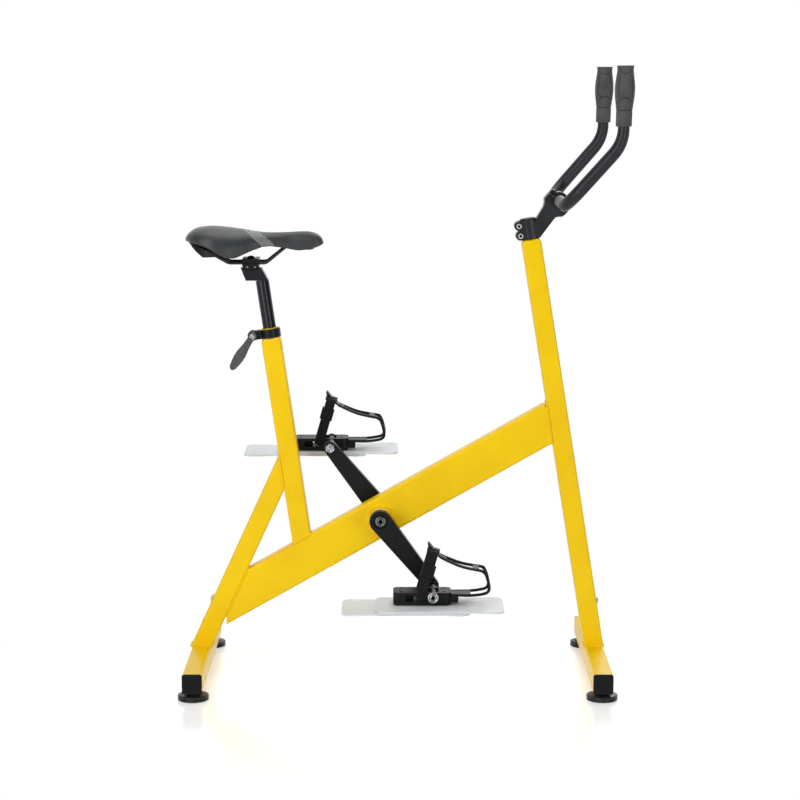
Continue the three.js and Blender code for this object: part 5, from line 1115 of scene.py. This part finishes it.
# %% Saddle tables
SADDLE_LENGTH = 279 * MM
SADDLE_HALF_WIDTH = 76 * MM
SADDLE_HEIGHT = 73 * MM
SADDLE_START = RAILS.x - 132 * MM
SADDLE_WIDTHS = [
    [0, 0.16], [0.006, 0.34], [0.02, 0.52], [0.045, 0.7], [0.09, 0.86], [0.16, 0.97], [0.24, 1.0],
    [0.33, 0.935], [0.42, 0.755], [0.5, 0.56], [0.6, 0.39], [0.72, 0.31], [0.85, 0.285], [0.93, 0.258],
    [0.97, 0.218], [0.99, 0.155], [1, 0.07],
]
SADDLE_CROWNS = [
    [0, 0.66], [0.008, 0.735], [0.03, 0.84], [0.07, 0.935], [0.13, 0.985], [0.22, 1.0], [0.39, 0.93],
    [0.56, 0.835], [0.7, 0.83], [0.84, 0.855], [0.9, 0.85], [0.943, 0.81], [0.97, 0.755], [0.988, 0.68],
    [1, 0.57],
]
SADDLE_RIMS = [
    [0, 0.61], [0.02, 0.61], [0.048, 0.59], [0.108, 0.54], [0.182, 0.43], [0.253, 0.28], [0.3, 0.2],
    [0.354, 0.16], [0.39, 0.19], [0.424, 0.255], [0.483, 0.36], [0.554, 0.455], [0.6, 0.465], [0.65, 0.445],
    [0.708, 0.415], [0.78, 0.36], [0.83, 0.34], [0.894, 0.37], [0.955, 0.43], [1, 0.51],
]
print("saddle:", round(SADDLE_LENGTH / MM), "by", round(2 * SADDLE_HALF_WIDTH / MM), "mm")

# %% Saddle cover
OUTER_STEPS, ROLL_STEPS, INNER_STEPS = 44, 5, 20
STATIONS = 90
FLANK_POWER = 0.74
ROLL = 2.8 * MM
HOLLOW_START, HOLLOW_END, HOLLOW_EASE = 0.033, 0.932, 0.012
HOLLOW_POWER = 0.72
HOLLOW_RIM, HOLLOW_DEPTH = 3.4 * MM, 9.2 * MM


def saddle_point(share, turn):
    """A point of the upper skin: turn runs from 0 on the right rim over the crown to 1 on the left."""
    angle = math.pi * turn
    half = curve_value(SADDLE_WIDTHS, share) * SADDLE_HALF_WIDTH
    rim = curve_value(SADDLE_RIMS, share) * SADDLE_HEIGHT + ROLL
    crown = max(curve_value(SADDLE_CROWNS, share) * SADDLE_HEIGHT, rim + 1 * MM)
    aside = -math.copysign(abs(math.cos(angle)) ** FLANK_POWER, math.cos(angle))
    rise = math.sin(angle) ** FLANK_POWER
    return Vector((SADDLE_START + share * SADDLE_LENGTH, half * aside, RAILS.z + rim + (crown - rim) * rise))


def saddle_ring(share):
    """The upper skin, the roll at the left rim, the hollow, and the roll at the right rim."""
    ring = [saddle_point(share, step / OUTER_STEPS) for step in range(OUTER_STEPS + 1)]
    left = ring[-1]
    half = left.y
    roll = min(ROLL, half * 0.45)
    depth = min(max((share - HOLLOW_START + HOLLOW_EASE) / HOLLOW_EASE, 0),
                max((HOLLOW_END + HOLLOW_EASE - share) / HOLLOW_EASE, 0), 1)
    for step in range(1, ROLL_STEPS + 1):
        angle = math.pi * step / ROLL_STEPS
        ring.append(Vector((left.x, half - roll + roll * math.cos(angle), left.z - ROLL * math.sin(angle))))
    inner = half - 2 * roll
    for step in range(1, INNER_STEPS):
        angle = math.pi * step / INNER_STEPS
        aside = math.copysign(abs(math.cos(angle)) ** HOLLOW_POWER, math.cos(angle))
        rise = HOLLOW_RIM + HOLLOW_DEPTH * math.sin(angle) ** HOLLOW_POWER
        ring.append(Vector((left.x, inner * aside, left.z + rise * depth)))
    for step in range(ROLL_STEPS):
        angle = math.pi * (1 - step / ROLL_STEPS)
        ring.append(Vector((left.x, -half + roll - roll * math.cos(angle), left.z - ROLL * math.sin(angle))))
    return ring


def saddle_place(shares, i, j):
    """UV: share of the length, and -1 on the right rim to 1 on the left."""
    return shares[i], min(2 * j / OUTER_STEPS - 1, 1.0) if j <= OUTER_STEPS + ROLL_STEPS else -1.0


shares = [(1 - math.cos(math.pi * i / STATIONS)) / 2 for i in range(STATIONS + 1)]
cover = skinned("saddle_cover_shell", [saddle_ring(share) for share in shares],
                lambda i, j: saddle_place(shares, i, j), SADDLE_SKIN)
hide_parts("saddle_cover")
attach(cover, "saddle")

# %% [markdown]
# ## Saddle stitches
#
# The band is sewn on with a row of stitches along each edge. A stitch is a short thread, 3 mm long, that dips
# into the skin at both ends. A tree puts one small rounded thread every 4 mm along a line and turns it to
# follow the line. The real thread is 0.7 mm thick, and is drawn 0.9 mm so that it still shows.

# %% The stitch tree
def stitch_tree():
    tree, given, path = new_tree("stitches", ["Spacing", "Thread radius", "Stitch length"])
    ball = add(tree, "GeometryNodeMeshUVSphere", {"Segments": 8, "Rings": 6, "Radius": 1.0})
    half = maths(tree, "DIVIDE", given["Stitch length"], 2.0)
    size = add(tree, "ShaderNodeCombineXYZ", {0: given["Thread radius"], 1: given["Thread radius"], 2: half})
    thread = add(tree, "GeometryNodeTransform", {"Geometry": ball.outputs[0], "Scale": size.outputs[0]})
    tangent = add(tree, "GeometryNodeInputTangent")
    turn = add(tree, "FunctionNodeAlignRotationToVector", {"Vector": tangent.outputs[0]}, axis="Z")
    sewn = add(tree, "GeometryNodeInstanceOnPoints",
               {"Points": evenly(tree, path, given["Spacing"]), "Instance": thread.outputs[0],
                "Rotation": turn.outputs[0]})
    return end_tree(tree, given, sewn)


STITCHES = stitch_tree()

# %% Saddle stitches
SEWN_STEPS, UNSEWN_STEPS = 60, 3
STITCH_INSET_SHARE = 0.009
STITCH_LIFT = 0.15 * MM


def band_edge(offset):
    """A line over the saddle beside the band, from near one rim to near the other."""
    line = []
    for step in range(UNSEWN_STEPS, SEWN_STEPS - UNSEWN_STEPS + 1):
        turn = step / SEWN_STEPS
        side = abs(2 * turn - 1)
        share = BAND_CROWN_SHARE + (BAND_EDGE_SHARE - BAND_CROWN_SHARE) * side ** BAND_SLANT + offset
        line.append(saddle_point(share, turn) + Vector((0, 0, STITCH_LIFT)))
    return line


THREAD = mottled("Polyester thread, grey, twisted", tint=(0.002, "#7d7f80", "#929495"),
                 rough=(0.001, 0.55, 0.75), IOR=1.5, Specular_IOR_Level=0.3)
edges = [band_edge(side * (BAND_HALF_SHARE - STITCH_INSET_SHARE)) for side in SIDES.values()]
stitches = grown("saddle_stitches", STITCHES, path_mesh("saddle_stitches", edges), spacing=4 * MM,
                 thread_radius=0.45 * MM, stitch_length=3 * MM, material=THREAD)
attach(stitches, "saddle")

# %% [markdown]
# ## Webbing
#
# Toe straps are woven polyester tape, 20 mm wide. Thick yarns run along it about 1 mm apart, and a thin yarn
# crosses them every 0.8 mm. On the UV map one number is the distance along the strap and the other the
# distance across it, both in metres, so two cosine waves draw the weave. They are coarser than the cloth,
# 1.6 and 1.2 mm, so that it shows.

# %% Webbing
YARN_SPACING = 0.0016
CROSSING_SPACING = 0.0012
CROSSING_SHARE = 0.35


def webbing():
    material, tree, shader = new_material(
        "Polyester webbing, black, woven", IOR=1.5, Specular_IOR_Level=0.15, Sheen_Weight=0.15,
        Sheen_Roughness=0.4)
    place = uv_numbers(tree)
    yarns = maths(tree, "COSINE", maths(tree, "MULTIPLY", place["Y"], math.tau / YARN_SPACING))
    crossings = maths(tree, "COSINE", maths(tree, "MULTIPLY", place["X"], math.tau / CROSSING_SPACING))
    weave = maths(tree, "MULTIPLY_ADD", crossings, CROSSING_SHARE, yarns)
    shade = ranged(tree, weave, -1 - CROSSING_SHARE, 1 + CROSSING_SHARE)
    wire(tree, shader, Base_Color=blend(tree, shade, linear("#0c0c0d"), linear("#1f2021")),
         Roughness=mottle(tree, 0.004, 0.65, 0.8), Normal=bump(tree, shade, 0.0004, 0.7))
    return material


WEBBING = webbing()

# %% [markdown]
# ## Toe straps
#
# Each strap lies in one leaning plane: up one side, over the clip's keeper, down the other side and through
# the pedal. Its path is four straight runs with a soft turn at each corner. A flat ring with rounded edges is
# carried along the path, facing outwards, and its first ring joins its last.

# %% Toe straps
STRAP_LEAN = math.radians(16)
STRAP_FOOT = Vector((-26, 0, -3)) * MM
STRAP_CORNERS = [(34, 0), (23, 99), (-23, 99), (-34, 0)]
STRAP_BEND = 9
TURN_STEPS, RUN_STEPS = 8, 12
STRAP_EDGE = [(-10, 0.35), (-9.6, 1.1), (-6, 1.25), (0, 1.25), (6, 1.25), (9.6, 1.1), (10, 0.35),
              (10, -0.35), (9.6, -1.1), (6, -1.25), (0, -1.25), (-6, -1.25), (-9.6, -1.1), (-10, -0.35)]


def strap_path():
    """Points of the loop in its plane, in millimetres, with round corners and short steps."""
    corners = [Vector(corner) for corner in STRAP_CORNERS]
    path = []
    for index, corner in enumerate(corners):
        before, after = corners[index - 1], corners[(index + 1) % len(corners)]
        start = corner + (before - corner).normalized() * STRAP_BEND
        end = corner + (after - corner).normalized() * STRAP_BEND
        for step in range(TURN_STEPS + 1):
            t = step / TURN_STEPS
            path.append(start * (1 - t) ** 2 + corner * 2 * t * (1 - t) + end * t ** 2)
        leave = after + (corner - after).normalized() * STRAP_BEND
        path += [end.lerp(leave, step / RUN_STEPS) for step in range(1, RUN_STEPS)]
    return path


def strap_rings(pedal):
    """Rings along the strap, and how far along it each one lies."""
    path = strap_path()
    rings, lengths = [], [0.0]
    for index, point in enumerate(path):
        ahead = path[(index + 1) % len(path)]
        tangent = (ahead - path[index - 1]).normalized()
        outwards = Vector((-tangent.y, tangent.x))
        ring = []
        for wide, thick in STRAP_EDGE:
            at = point + outwards * thick
            ring.append(pedal + STRAP_FOOT + Vector((
                wide * math.cos(STRAP_LEAN) + at.y * math.sin(STRAP_LEAN), at.x,
                at.y * math.cos(STRAP_LEAN) - wide * math.sin(STRAP_LEAN))) * MM)
        rings.append(ring)
        lengths.append(lengths[-1] + (ahead - point).length * MM)
    return rings, lengths


for name in SIDES:
    rings, lengths = strap_rings(JOINT_AT[name + "_pedal_spin"])
    strap = skinned(name + "_strap_woven", rings,
                    lambda i, j: (lengths[i], STRAP_EDGE[j % len(STRAP_EDGE)][0] * MM), WEBBING, looped=True)
    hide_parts(name + "_toe_strap")
    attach(strap, name + "_pedal")
print("each strap is", round(lengths[-1], 3), "m round")
